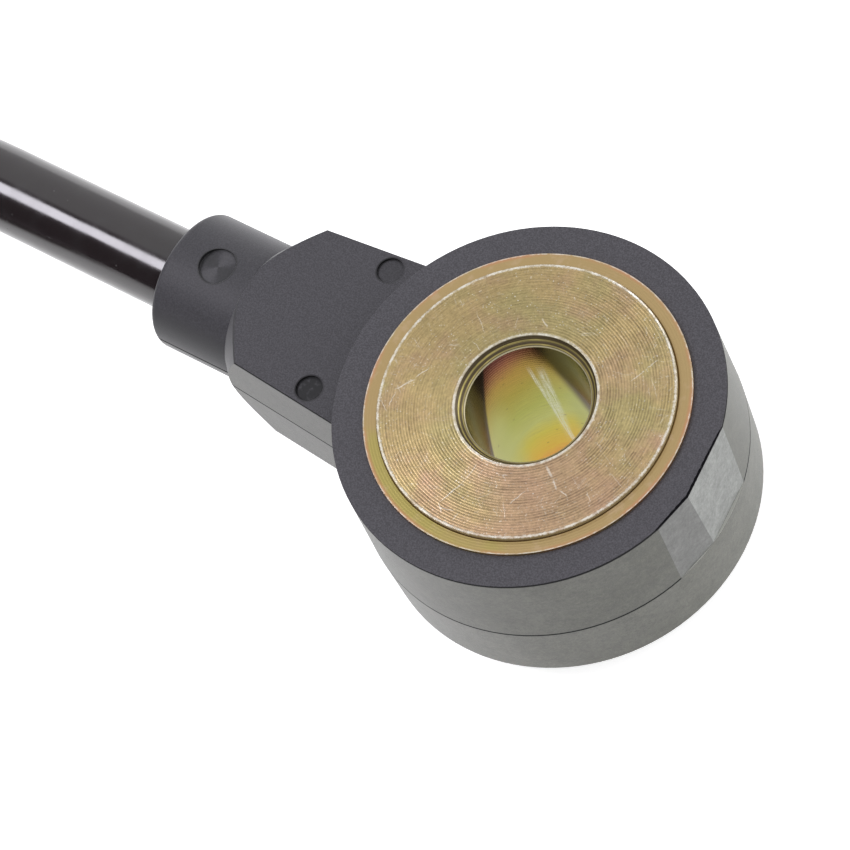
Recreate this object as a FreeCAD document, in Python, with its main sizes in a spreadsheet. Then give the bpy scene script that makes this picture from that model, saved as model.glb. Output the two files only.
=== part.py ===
import FreeCAD, Part
import math
import os
import Sketcher

# Engine knock sensor with a fixed lead, in millimetres.
# The bolt's axis is +Z and the seat of the bolt head is z = 0. The sensor's neck and its lead point along +X.
# The sensor is one overmould round a stack of rings: the stack is built first, and the plastic follows it.

Vector = FreeCAD.Vector

# Driving dimensions: the name of the cell, its size and what it is.
SIZES = [
    ("sleeve_length", 15.5, "sleeve, from the bolt-head seat to the contact face"),
    ("disc_rise", 0.3, "contact disc, height above the flange"),
    ("disc_radius", 10.1, "contact disc"),
    ("flange_radius", 11.1, "sleeve's flange"),
    ("flange_thick", 2.1, "sleeve's flange"),
    ("bore_radius", 4.25, "clearance hole for an M8 bolt"),
    ("tube_radius", 5.7, "sleeve's tube, outside"),
    ("mouth_radius", 4.79, "mouth of the bore, at the contact face"),
    ("mouth_step_radius", 4.6, "mouth of the bore, foot of its first step"),
    ("mouth_step_depth", 0.35, "mouth of the bore, first step"),
    ("mouth_depth", 0.68, "mouth of the bore, whole depth"),
    ("seat_chamfer", 0.35, "bore and tube, at the bolt-head seat"),
    ("key_depth", 0.3, "grooves that lock the plastic to the sleeve"),
    ("key_width", 0.5, "grooves that lock the plastic to the sleeve"),
    ("key_height", 2.8, "groove on the tube, height above the seat"),
    ("disc_groove_width", 0.22, "turned groove at the foot of the contact disc"),
    ("disc_groove_depth", 0.12, "turned groove at the foot of the contact disc"),
    ("liner_thick", 0.25, "insulating liner"),
    ("liner_overlap", 1.2, "liner, length inside the seismic mass"),
    ("stack_play", 0.1, "clearance of the rings round the liner"),
    ("washer_thick", 0.3, "insulating washers"),
    ("washer_radius", 9.6, "insulating washers"),
    ("contact_thick", 0.25, "contact discs"),
    ("piezo_thick", 2.0, "piezo ring"),
    ("piezo_radius", 9.0, "piezo ring and contact discs"),
    ("mass_thick", 3.2, "seismic mass"),
    ("mass_radius", 9.8, "seismic mass"),
    ("mass_chamfer", 0.4, "seismic mass"),
    ("spring_height", 0.8, "disc spring, free height"),
    ("spring_thick", 0.5, "disc spring, sheet"),
    ("spring_radius", 8.8, "disc spring"),
    ("nut_thick", 1.9, "ring nut"),
    ("nut_radius", 8.4, "ring nut"),
    ("nut_slot_width", 1.6, "ring nut, spanner slots"),
    ("nut_slot_depth", 1.1, "ring nut, spanner slots"),
    ("nut_slots", 4, "ring nut, number of spanner slots"),
    ("back_inset", 2.1, "plastic's back, above the bolt-head seat"),
    ("rim_drop", 0.23, "plastic's rim, below the flange"),
    ("ring_wall", 2.32, "plastic ring at the parting line, beyond the sleeve's flange"),
    ("rim_taper", 0.12, "plastic ring, draft from the parting line to the rim"),
    ("back_taper", 0.17, "plastic ring, draft from the parting line to the back"),
    ("back_chamfer", 0.3, "plastic ring, edge of its back"),
    ("arm_height", 7.8, "parting line and axis of the lead's arm"),
    ("flat_a_depth", 0.21, "first flat on the ring's side, at its middle"),
    ("flat_a_lean", 0.2, "first flat, extra depth at the rim"),
    ("flat_a_angle", 187.2, "first flat, direction of its middle"),
    ("flat_b_depth", 0.1, "second flat on the ring's side, at its middle"),
    ("flat_b_lean", 0.115, "second flat, extra depth at the rim"),
    ("flat_b_angle", 170.3, "second flat, direction of its middle"),
    ("neck_inset", 0.25, "neck's root inside the ring, beyond the sleeve's flange"),
    ("neck_half_width", 6.69, "neck, beside the ring"),
    ("neck_side_angle", 5.0, "neck, taper of each side in plan"),
    ("neck_half_height", 5.0, "neck, above and below the parting line"),
    ("neck_draft", 1.5, "neck, draft of its sides"),
    ("neck_end", 23.9, "foot of the neck's end cone, on the collar"),
    ("cone_angle", 43.0, "neck's end cone, to the arm's axis"),
    ("neck_side_fillet", 1.6, "fillet between the neck's sides and the ring"),
    ("neck_top_fillet", 0.6, "fillet between the neck's top and the ring"),
    ("collar_radius", 5.0, "collar round the cable"),
    ("collar_end", 30.5, "collar's end face"),
    ("collar_round", 0.45, "collar's end edge"),
    ("mark_radius", 0.95, "ejector marks on the neck"),
    ("mark_depth", 0.15, "ejector marks on the neck"),
    ("mark_reach", 15.3, "ejector marks on the neck, from the bore"),
    ("mark_spread", 5.0, "ejector marks on the neck, either side of the axis"),
    ("collar_mark_radius", 1.35, "ejector mark on the collar"),
    ("collar_mark_depth", 0.3, "ejector mark on the collar"),
    ("collar_mark_reach", 26.7, "ejector mark on the collar, from the bore"),
    ("tab_width", 1.4, "contact tabs"),
    ("tab_drop", 11.65, "contact tabs, where they turn down"),
    ("tab_end", 17.4, "contact tabs, end of the full width"),
    ("tail_width", 0.85, "contact tabs, crimped tail"),
    ("tail_length", 1.9, "contact tabs, crimped tail"),
    ("core_spread", 1.3, "tabs, splices and cores, either side of the axis"),
    ("core_radius", 0.9, "insulated core"),
    ("copper_radius", 0.55, "stranded conductor"),
    ("splice_wall", 0.35, "splice barrel"),
    ("splice_length", 3.6, "splice barrel"),
    ("splice_gap", 0.3, "splice barrel, to the core's insulation and to the tab"),
    ("chip_length", 3.6, "shunt resistor, across the tabs"),
    ("chip_width", 1.6, "shunt resistor"),
    ("chip_thick", 0.6, "shunt resistor"),
    ("chip_cap", 0.5, "shunt resistor, end caps"),
    ("chip_cap_rise", 0.05, "shunt resistor, end caps above its body"),
    ("chip_reach", 14.4, "shunt resistor, from the bore"),
    ("jacket_radius", 3.0, "cable, outside"),
    ("jacket_wall", 0.7, "cable, jacket"),
    ("jacket_start", 24.5, "cable, where the jacket begins in the collar"),
    ("braid_thick", 0.2, "shield braid, folded back"),
    ("braid_length", 4.4, "shield braid, folded back"),
    ("crimp_wall", 0.55, "crimp ring"),
    ("crimp_length", 3.4, "crimp ring"),
    ("crimp_start", 0.5, "crimp ring, from the jacket's end"),
    ("lead_level_end", 45.5, "lead, end of its level run from the collar"),
    ("lead_floor_start", 62.0, "lead, where it reaches the floor"),
    ("coil_radius", 31.0, "coil, at the middle of its turns"),
    ("coil_reach", 93.0, "coil's centre, from the bore"),
    ("coil_entry", 20.5, "straight part before and after the coil"),
    ("boot_length", 13.0, "plug boot"),
    ("boot_tip_radius", 4.4, "plug boot, at the cable"),
    ("boot_root_radius", 6.3, "plug boot, at the shell"),
    ("boot_groove", 0.5, "plug boot, depth of its grooves"),
    ("boot_groove_width", 1.0, "plug boot, width of its grooves"),
    ("boot_grooves", 4, "plug boot, number of grooves"),
    ("plug_jacket_length", 8.0, "cable's jacket inside the boot"),
    ("boot_chamber", 4.4, "plug boot, room for the parted wires"),
    ("shell_height", 18.0, "plug shell, across its two ways"),
    ("shell_width", 14.0, "plug shell, the other way"),
    ("shell_length", 14.0, "plug shell, body"),
    ("shell_round", 1.6, "plug shell, long edges of the body"),
    ("nose_height", 13.6, "plug nose, across its two ways"),
    ("nose_width", 8.6, "plug nose, the other way"),
    ("nose_length", 12.5, "plug nose"),
    ("nose_round", 1.5, "plug nose, long edges"),
    ("latch_width", 6.0, "latch arm"),
    ("latch_thick", 1.3, "latch arm"),
    ("latch_length", 10.5, "latch arm"),
    ("latch_hook", 0.9, "latch arm, hook"),
    ("latch_hook_length", 1.8, "latch arm, hook"),
    ("seal_thick", 0.9, "plug seal"),
    ("seal_lip", 0.35, "plug seal, height of its lips"),
    ("seal_length", 4.2, "plug seal"),
    ("way_pitch", 5.0, "plug, between its two ways"),
    ("cell_size", 3.0, "plug, square cells of the sockets"),
    ("cell_mouth", 1.2, "plug, openings for the pins"),
    ("cell_front", 1.0, "plug, front wall of the cells"),
    ("gland_radius", 1.9, "plug, bores of the wire seals"),
    ("gland_depth", 5.0, "plug, bores of the wire seals"),
    ("lock_length", 1.4, "terminal lock, along the plug"),
    ("lock_reach", 5.5, "terminal lock, from the nose's tip"),
    ("socket_size", 2.6, "socket, square box"),
    ("socket_wall", 0.3, "socket, sheet"),
    ("socket_length", 8.0, "socket, box"),
    ("barrel_length", 3.6, "socket, crimp barrel"),
]


def add_sizes(doc):
    """Write the driving dimensions into the document's sheet."""
    sheet = doc.addObject("Spreadsheet::Sheet", "Sizes")
    for row, (name, number, meaning) in enumerate(SIZES, start=1):
        sheet.set(f"A{row}", name)
        sheet.set(f"B{row}", str(number))
        sheet.set(f"C{row}", meaning)
        sheet.setAlias(f"B{row}", name)
    doc.recompute()
    return sheet


def size(name):
    """The expression that reads one size from the sheet."""
    return f"Sizes.{name}"


def total(*parts):
    """The expression for a sum. A part that starts with a minus sign is taken away."""
    text = ""
    for part in parts:
        if part.startswith("-"):
            text += f" - {part[1:]}"
        else:
            text += f" + {part}" if text else part
    return f"({text})"


# Heights in the stack, from the contact face down to the back.
CONTACT_FACE = size("sleeve_length")
FLANGE_FRONT = total(CONTACT_FACE, "-" + size("disc_rise"))
FLANGE_BACK = total(FLANGE_FRONT, "-" + size("flange_thick"))
FRONT_WASHER = total(FLANGE_BACK, "-" + size("washer_thick"))
FRONT_CONTACT = total(FRONT_WASHER, "-" + size("contact_thick"))
PIEZO = total(FRONT_CONTACT, "-" + size("piezo_thick"))
REAR_CONTACT = total(PIEZO, "-" + size("contact_thick"))
REAR_WASHER = total(REAR_CONTACT, "-" + size("washer_thick"))
MASS = total(REAR_WASHER, "-" + size("mass_thick"))
SPRING = total(MASS, "-" + size("spring_height"))
NUT = total(SPRING, "-" + size("nut_thick"))
RIM = total(FLANGE_FRONT, "-" + size("rim_drop"))
FLANGE_KEY_LOW = total(FLANGE_BACK, f"({size('flange_thick')} - {size('key_width')}) / 2")
FLANGE_KEY_HIGH = total(FLANGE_KEY_LOW, size("key_width"))
TUBE_KEY_HIGH = total(size("key_height"), size("key_width"))
RING_RADIUS = total(size("flange_radius"), size("ring_wall"))
NECK_START = total(size("flange_radius"), size("neck_inset"))
LINER_RADIUS = total(size("tube_radius"), size("liner_thick"))
STACK_BORE = total(LINER_RADIUS, size("stack_play"))

# Places along the arm and along the plug.
SPLICE_START = total(size("tab_end"), size("splice_gap"))
SPLICE_END = total(SPLICE_START, size("splice_length"))
CORE_START = total(SPLICE_END, size("splice_gap"))
SPLICE_RADIUS = total(size("copper_radius"), size("splice_wall"))
COPPER_START = total(size("tab_end"), size("tail_length"), size("splice_gap"))
BRAID_RADIUS = total(size("jacket_radius"), size("braid_thick"))
CRIMP_RADIUS = total(BRAID_RADIUS, size("crimp_wall"))
CRIMP_START = total(size("jacket_start"), size("crimp_start"))
CRIMP_END = total(CRIMP_START, size("crimp_length"))
BRAID_END = total(size("jacket_start"), size("braid_length"))
JACKET_BORE = total(size("jacket_radius"), "-" + size("jacket_wall"))
SHELL_START = size("boot_length")
NOSE_START = total(SHELL_START, size("shell_length"))
NOSE_TIP = total(NOSE_START, size("nose_length"))
SOCKET_TIP = total(NOSE_TIP, "-" + size("cell_front"))
SOCKET_START = total(SOCKET_TIP, "-" + size("socket_length"))
BARREL_START = total(SOCKET_START, "-" + size("barrel_length"))
GLAND_END = total(SHELL_START, size("gland_depth"))
PLUG_REAR = total(size("coil_reach"), "-" + size("coil_entry"))
PLUG_SIDE = f"(2 * {size('coil_radius')})"
COIL_TOP_AXIS = f"(3 * {size('jacket_radius')})"

FULL_TURN = 360
COIL_TURNS = 1.5
# How near, in millimetres, an edge lies to the place that it is looked for.
NEAR = 0.01


def read(item, expression):
    """The number that an expression gives now."""
    return float(item.evalExpression(expression))


def new_body(doc, label):
    """An empty body whose label names its file."""
    body = doc.addObject("PartDesign::Body", label)
    body.Label = label
    return body


def origin_plane(body, role):
    """One of the body's own origin planes."""
    return next(item for item in body.Origin.OriginFeatures if item.Role == role)


def new_sketch(body, name, role, lift=None):
    """A sketch on an origin plane, lifted along the plane's normal by an expression."""
    sketch = body.newObject("Sketcher::SketchObject", name)
    sketch.AttachmentSupport = [(origin_plane(body, role), "")]
    sketch.MapMode = "FlatFace"
    if lift:
        sketch.setExpression("AttachmentOffset.Base.z", lift)
    return sketch


def fix_point(sketch, edge, x, y):
    """Tie the start of an edge to two expressions."""
    for kind, expression, axis in (("DistanceX", x, -2), ("DistanceY", y, -1)):
        if expression == "0":
            sketch.addConstraint(Sketcher.Constraint("PointOnObject", edge, 1, axis))
            continue
        number = read(sketch, expression)
        index = sketch.addConstraint(Sketcher.Constraint(kind, edge, 1, number))
        sketch.setExpression(f"Constraints[{index}]", expression)


def draw_outline(sketch, points):
    """Draw a closed outline whose corners are pairs of expressions."""
    corners = [Vector(read(sketch, x), read(sketch, y), 0) for x, y in points]
    first = sketch.GeometryCount
    count = len(corners)
    for index in range(count):
        sketch.addGeometry(Part.LineSegment(corners[index], corners[(index + 1) % count]))
    for index in range(count):
        after = first + (index + 1) % count
        sketch.addConstraint(Sketcher.Constraint("Coincident", first + index, 2, after, 1))
    for index, (x, y) in enumerate(points):
        fix_point(sketch, first + index, x, y)


def draw_circle(sketch, x, y, radius):
    """Draw a circle whose centre and radius are expressions."""
    centre = Vector(read(sketch, x), read(sketch, y), 0)
    edge = sketch.addGeometry(Part.Circle(centre, Vector(0, 0, 1), read(sketch, radius)))
    for kind, expression, axis in (("DistanceX", x, -2), ("DistanceY", y, -1)):
        if expression == "0":
            sketch.addConstraint(Sketcher.Constraint("PointOnObject", edge, 3, axis))
            continue
        index = sketch.addConstraint(
            Sketcher.Constraint(kind, edge, 3, read(sketch, expression)))
        sketch.setExpression(f"Constraints[{index}]", expression)
    index = sketch.addConstraint(Sketcher.Constraint("Radius", edge, read(sketch, radius)))
    sketch.setExpression(f"Constraints[{index}]", radius)


def box_outline(x_low, x_high, y_low, y_high):
    """The corners of a rectangle."""
    return [(x_low, y_low), (x_high, y_low), (x_high, y_high), (x_low, y_high)]


def centred_box(half_x, half_y):
    """The corners of a rectangle centred on the origin, from its half sizes."""
    return box_outline(f"-{half_x}", half_x, f"-{half_y}", half_y)


def turn(body, name, profile, axis="V_Axis", kind="PartDesign::Revolution", lift=None):
    """Turn a profile of (radius, height) or, about H_Axis, of (place, radius) pairs."""
    sketch = new_sketch(body, name + "_profile", "XZ_Plane")
    if lift:
        sketch.setExpression("AttachmentOffset.Base.y", lift)
    draw_outline(sketch, profile)
    feature = body.newObject(kind, name)
    feature.Profile = sketch
    feature.ReferenceAxis = (sketch, [axis])
    feature.Angle = FULL_TURN
    return feature


def pad(body, name, role, outlines, length, lift=None, kind="PartDesign::Pad", **settings):
    """Pad or pocket outlines from an origin plane. A circle is a triple, an outline a list."""
    sketch = new_sketch(body, name + "_outline", role, lift)
    for outline in outlines:
        if isinstance(outline, tuple):
            draw_circle(sketch, *outline)
        else:
            draw_outline(sketch, outline)
    feature = body.newObject(kind, name)
    feature.Profile = sketch
    feature.setExpression("Length", length)
    for key, setting in settings.items():
        setattr(feature, key, setting)
    return feature


def edges_where(feature, test):
    """The names of the edges whose middle and shape pass a test."""
    names = []
    for index, edge in enumerate(feature.Shape.Edges, start=1):
        middle = edge.valueAt((edge.FirstParameter + edge.LastParameter) / 2)
        if test(edge, middle):
            names.append(f"Edge{index}")
    return names


def round_edges(doc, body, name, test, radius, kind="PartDesign::Fillet"):
    """Fillet or chamfer the edges of the body's tip that pass a test."""
    doc.recompute()
    base = body.Tip
    feature = body.newObject(kind, name)
    feature.Base = (base, edges_where(base, test))
    feature.setExpression("Radius" if kind.endswith("Fillet") else "Size", radius)
    return feature


def place(item, x="0", y="0", z="0", turned=0):
    """Place an item by expressions, turned about Z by a number of degrees."""
    item.Placement = FreeCAD.Placement(Vector(), FreeCAD.Rotation(Vector(0, 0, 1), turned))
    for axis, expression in (("x", x), ("y", y), ("z", z)):
        if expression != "0":
            item.setExpression(f"Placement.Base.{axis}", expression)


def flat_ring(doc, label, inner, outer, bottom, top):
    """A plain ring about the bolt's axis."""
    body = new_body(doc, label)
    turn(body, label + "_ring", box_outline(inner, outer, bottom, top))
    return body


# The sensor's ring

def make_sleeve(doc):
    """Sleeve: tube, flange, raised contact disc, stepped mouth and two locking grooves."""
    body = new_body(doc, "sleeve")
    bore = size("bore_radius")
    tube = size("tube_radius")
    flange = size("flange_radius")
    disc = size("disc_radius")
    chamfer = size("seat_chamfer")
    tube_key = total(tube, "-" + size("key_depth"))
    flange_key = total(flange, "-" + size("key_depth"))
    groove_floor = total(FLANGE_FRONT, "-" + size("disc_groove_depth"))
    groove_edge = total(disc, size("disc_groove_width"))
    turn(body, "sleeve_turned", [
        (bore, chamfer),
        (total(bore, chamfer), "0"),
        (total(tube, "-" + chamfer), "0"),
        (tube, chamfer),
        (tube, size("key_height")),
        (tube_key, size("key_height")),
        (tube_key, TUBE_KEY_HIGH),
        (tube, TUBE_KEY_HIGH),
        (tube, FLANGE_BACK),
        (flange, FLANGE_BACK),
        (flange, FLANGE_KEY_LOW),
        (flange_key, FLANGE_KEY_LOW),
        (flange_key, FLANGE_KEY_HIGH),
        (flange, FLANGE_KEY_HIGH),
        (flange, FLANGE_FRONT),
        (groove_edge, FLANGE_FRONT),
        (disc, groove_floor),
        (disc, CONTACT_FACE),
        (size("mouth_radius"), CONTACT_FACE),
        (size("mouth_step_radius"), total(CONTACT_FACE, "-" + size("mouth_step_depth"))),
        (bore, total(CONTACT_FACE, "-" + size("mouth_depth"))),
    ])
    return body


def make_stack(doc):
    """The rings clamped under the flange, from the liner to the ring nut."""
    liner_end = total(REAR_WASHER, "-" + size("liner_overlap"))
    rings = [
        flat_ring(doc, "liner", size("tube_radius"), LINER_RADIUS, liner_end, FLANGE_BACK),
        flat_ring(doc, "front_washer", STACK_BORE, size("washer_radius"),
                  FRONT_WASHER, FLANGE_BACK),
        flat_ring(doc, "piezo_ring", STACK_BORE, size("piezo_radius"), PIEZO, FRONT_CONTACT),
        flat_ring(doc, "rear_washer", STACK_BORE, size("washer_radius"),
                  REAR_WASHER, REAR_CONTACT),
        make_mass(doc),
        make_spring(doc),
    ]
    return rings


def make_mass(doc):
    """Seismic mass: a steel ring with broken edges."""
    body = new_body(doc, "seismic_mass")
    outer = size("mass_radius")
    chamfer = size("mass_chamfer")
    turn(body, "mass_turned", [
        (STACK_BORE, MASS),
        (total(outer, "-" + chamfer), MASS),
        (outer, total(MASS, chamfer)),
        (outer, total(REAR_WASHER, "-" + chamfer)),
        (total(outer, "-" + chamfer), REAR_WASHER),
        (STACK_BORE, REAR_WASHER),
    ])
    return body


def make_spring(doc):
    """Disc spring: a conical sheet ring, its rim on the mass and its bore on the nut."""
    body = new_body(doc, "disc_spring")
    rim_low = total(MASS, "-" + size("spring_thick"))
    bore_high = total(SPRING, size("spring_thick"))
    turn(body, "spring_turned", [
        (STACK_BORE, SPRING),
        (size("spring_radius"), rim_low),
        (size("spring_radius"), MASS),
        (STACK_BORE, bore_high),
    ])
    return body


def make_nut(doc):
    """Ring nut with spanner slots round its rim."""
    body = new_body(doc, "ring_nut")
    turn(body, "nut_turned", box_outline(size("tube_radius"), size("nut_radius"), NUT, SPRING))
    half_slot = f"({size('nut_slot_width')} / 2)"
    slot_floor = total(size("nut_radius"), "-" + size("nut_slot_depth"))
    slot_mouth = total(size("nut_radius"), size("nut_slot_depth"))
    slot = pad(body, "nut_slot", "XY_Plane",
               [box_outline(slot_floor, slot_mouth, f"-{half_slot}", half_slot)],
               size("nut_thick"), lift=NUT, kind="PartDesign::Pocket", Reversed=True)
    doc.recompute()
    pattern = body.newObject("PartDesign::PolarPattern", "nut_slot_pattern")
    pattern.Originals = [slot]
    pattern.Axis = (slot.Profile[0], ["N_Axis"])
    pattern.Angle = FULL_TURN
    pattern.setExpression("Occurrences", size("nut_slots"))
    body.Tip = pattern
    return body


def make_contact(doc, label, bottom, side):
    """Contact disc: a sheet ring whose tab turns down, runs out at mid height and ends in a tail."""
    body = new_body(doc, label)
    sheet = size("contact_thick")
    leg = size("tab_drop")
    leg_back = total(leg, sheet)
    axis = size("arm_height")
    tab_low = total(axis, "-" + sheet)
    top = total(bottom, sheet)
    inside = f"(({STACK_BORE} + {size('piezo_radius')}) / 2)"
    turn(body, label + "_disc", box_outline(STACK_BORE, size("piezo_radius"), bottom, top))
    # The plane's normal points to -Y, so a tab on the +Y side has a negative lift.
    lift = f"{-side} * {size('core_spread')}"
    pad(body, label + "_tab", "XZ_Plane", [[
        (inside, bottom),
        (leg, bottom),
        (leg, tab_low),
        (size("tab_end"), tab_low),
        (size("tab_end"), axis),
        (leg_back, axis),
        (leg_back, top),
        (inside, top),
    ]], size("tab_width"), lift=lift, Midplane=True)
    tail_start = total(size("tab_end"), "-" + sheet)
    tail_end = total(size("tab_end"), size("tail_length"))
    pad(body, label + "_tail", "XZ_Plane", [box_outline(tail_start, tail_end, tab_low, axis)],
        size("tail_width"), lift=lift, Midplane=True)
    return body


# The neck's inner pieces

def make_resistor(doc):
    """Shunt resistor: a chip across the two tabs, with raised end caps."""
    body = new_body(doc, "shunt_resistor")
    half = f"({size('chip_length')} / 2)"
    cap_edge = total(half, "-" + size("chip_cap"))
    rise = size("chip_cap_rise")
    low = size("arm_height")
    high = total(low, size("chip_thick"))
    # One outline in the plane across the arm: caps at both ends, the body between them a little lower.
    pad(body, "chip", "YZ_Plane", [[
        (f"-{half}", low),
        (f"-{cap_edge}", low),
        (f"-{cap_edge}", total(low, rise)),
        (cap_edge, total(low, rise)),
        (cap_edge, low),
        (half, low),
        (half, high),
        (cap_edge, high),
        (cap_edge, total(high, "-" + rise)),
        (f"-{cap_edge}", total(high, "-" + rise)),
        (f"-{cap_edge}", high),
        (f"-{half}", high),
    ]], size("chip_width"), lift=size("chip_reach"), Midplane=True)
    return body


def along_arm(doc, label, profile, side=0):
    """A piece turned about the arm's axis, or about a line beside it."""
    body = new_body(doc, label)
    turn(body, label + "_turned", profile, axis="H_Axis")
    offset = f"{side} * {size('core_spread')}" if side else "0"
    place(body, y=offset, z=size("arm_height"))
    return body


def make_arm_pieces(doc):
    """Splices, conductors, cores, and the cable's jacket, braid and crimp ring in the collar."""
    pieces = []
    for letter, side in (("a", 1), ("b", -1)):
        pieces.append(along_arm(doc, f"splice_{letter}", box_outline(
            SPLICE_START, SPLICE_END, size("copper_radius"), SPLICE_RADIUS), side))
        pieces.append(along_arm(doc, f"copper_{letter}", box_outline(
            COPPER_START, size("collar_end"), "0", size("copper_radius")), side))
        pieces.append(along_arm(doc, f"core_{letter}", box_outline(
            CORE_START, size("collar_end"), size("copper_radius"), size("core_radius")), side))
    pieces.append(along_arm(doc, "jacket_end", box_outline(
        size("jacket_start"), size("collar_end"), JACKET_BORE, size("jacket_radius"))))
    pieces.append(along_arm(doc, "shield_braid", box_outline(
        size("jacket_start"), BRAID_END, size("jacket_radius"), BRAID_RADIUS)))
    pieces.append(along_arm(doc, "crimp_ring", box_outline(
        CRIMP_START, CRIMP_END, BRAID_RADIUS, CRIMP_RADIUS)))
    return pieces


# The overmoulded housing

def make_housing(doc, cast_in):
    """Housing: ring, neck, end cone and collar in one moulding, cut by all that it is moulded round."""
    body = new_body(doc, "housing_mould")
    add_housing_ring(body)
    add_neck(doc, body)
    add_collar(doc, body)
    add_marks(body)
    shape = body
    cutters = add_flats(doc) + cast_in
    for index, tool in enumerate(cutters, start=1):
        cut = doc.addObject("Part::Cut", f"housing_cut_{index}")
        cut.Base = shape
        cut.Tool = tool
        shape = cut
    shape.Label = "housing"
    return shape


def add_housing_ring(body):
    """The ring: its outside has draft both ways, and its inside follows the sleeve and the stack."""
    outer = RING_RADIUS
    tube = size("tube_radius")
    flange = size("flange_radius")
    washer = size("washer_radius")
    piezo = size("piezo_radius")
    mass = size("mass_radius")
    mass_edge = total(mass, "-" + size("mass_chamfer"))
    tube_key = total(tube, "-" + size("key_depth"))
    flange_key = total(flange, "-" + size("key_depth"))
    turn(body, "ring_turned", [
        (tube, size("back_inset")),
        (total(outer, "-" + size("back_taper")), size("back_inset")),
        (outer, size("arm_height")),
        (total(outer, "-" + size("rim_taper")), RIM),
        (flange, RIM),
        (flange, FLANGE_KEY_HIGH),
        (flange_key, FLANGE_KEY_HIGH),
        (flange_key, FLANGE_KEY_LOW),
        (flange, FLANGE_KEY_LOW),
        (flange, FLANGE_BACK),
        (washer, FLANGE_BACK),
        (washer, FRONT_WASHER),
        (piezo, FRONT_WASHER),
        (piezo, REAR_CONTACT),
        (washer, REAR_CONTACT),
        (washer, REAR_WASHER),
        (mass_edge, REAR_WASHER),
        (mass, total(REAR_WASHER, "-" + size("mass_chamfer"))),
        (mass, total(MASS, size("mass_chamfer"))),
        (mass_edge, MASS),
        (size("spring_radius"), MASS),
        (size("spring_radius"), SPRING),
        (tube, SPRING),
        (tube, TUBE_KEY_HIGH),
        (tube_key, TUBE_KEY_HIGH),
        (tube_key, size("key_height")),
        (tube, size("key_height")),
    ])


def neck_half_width(place_x):
    """The neck's half width at the parting line, a distance from the bore."""
    narrowing = f"({place_x} - {NECK_START}) * tan({size('neck_side_angle')})"
    return total(size("neck_half_width"), "-" + narrowing)


def add_neck(doc, body):
    """The neck: two tapered pads, up and down from the parting line, and its fillets to the ring."""
    start = NECK_START
    end = size("neck_end")
    outline = [
        (start, f"-{neck_half_width(start)}"),
        (end, f"-{neck_half_width(end)}"),
        (end, neck_half_width(end)),
        (start, neck_half_width(start)),
    ]
    for name, downwards in (("neck_upper", False), ("neck_lower", True)):
        half = pad(body, name, "XY_Plane", [outline], size("neck_half_height"),
                   lift=size("arm_height"), Reversed=downwards)
        half.setExpression("TaperAngle", f"-{size('neck_draft')}")
    width = read(body, size("neck_half_width"))
    outer = read(body, RING_RADIUS)
    top = read(body, total(size("arm_height"), size("neck_half_height")))

    def beside_ring(edge, middle):
        """True for the upright edges where the neck's sides leave the ring."""
        rise = abs(edge.Vertexes[-1].Point.z - edge.Vertexes[0].Point.z)
        return rise > edge.Length / 2 and abs(abs(middle.y) - width) < width / 8 and middle.x > 0

    def under_rim(edge, middle):
        """True for the arcs where the neck's top meets the ring."""
        on_ring = abs(math.hypot(middle.x, middle.y) - outer) < outer / 50
        return on_ring and abs(middle.z - top) < NEAR and middle.x > 0 and edge.Length > width / 2

    round_edges(doc, body, "neck_side_fillets", beside_ring, size("neck_side_fillet"))
    round_edges(doc, body, "neck_top_fillet", under_rim, size("neck_top_fillet"))


def add_collar(doc, body):
    """The collar with its rounded end, and the cone that trims the neck's corners down to it."""
    radius = size("collar_radius")
    end = size("neck_end")
    # The cone starts on the collar and leaves the neck's section well outside its corners.
    clear = f"(2 * {size('neck_half_width')})"
    cone_back = f"({end} - ({clear} - {radius}) / tan({size('cone_angle')}))"
    beyond = total(end, size("neck_half_width"))
    turn(body, "end_cone", [
        (end, radius),
        (beyond, radius),
        (beyond, clear),
        (cone_back, clear),
    ], axis="H_Axis", kind="PartDesign::Groove", lift=size("arm_height"))
    turn(body, "collar", box_outline(
        size("tab_end"), size("collar_end"), "0", radius), axis="H_Axis", lift=size("arm_height"))
    tip = read(body, size("collar_end"))
    back = read(body, size("back_inset"))
    ring = read(body, total(RING_RADIUS, "-" + size("back_taper")))
    round_edges(doc, body, "collar_edge", lambda edge, middle: abs(middle.x - tip) < NEAR,
                size("collar_round"))

    def on_back_edge(edge, middle):
        """True for the outer edge of the ring's back."""
        on_ring = abs(math.hypot(middle.x, middle.y) - ring) < NEAR
        return on_ring and abs(middle.z - back) < NEAR

    round_edges(doc, body, "back_edge", on_back_edge, size("back_chamfer"), "PartDesign::Chamfer")


def add_marks(body):
    """Shallow round marks of the ejector pins, on the neck's top and on the collar."""
    neck_top = total(size("arm_height"), size("neck_half_height"))
    spread = size("mark_spread")
    reach = size("mark_reach")
    radius = size("mark_radius")
    pad(body, "neck_marks", "XY_Plane",
        [(reach, spread, radius), (reach, f"-{spread}", radius)],
        size("mark_depth"), lift=neck_top, kind="PartDesign::Pocket")
    collar_top = total(size("arm_height"), size("collar_radius"))
    pad(body, "collar_mark", "XY_Plane",
        [(size("collar_mark_reach"), "0", size("collar_mark_radius"))],
        size("collar_mark_depth"), lift=collar_top, kind="PartDesign::Pocket")


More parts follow.
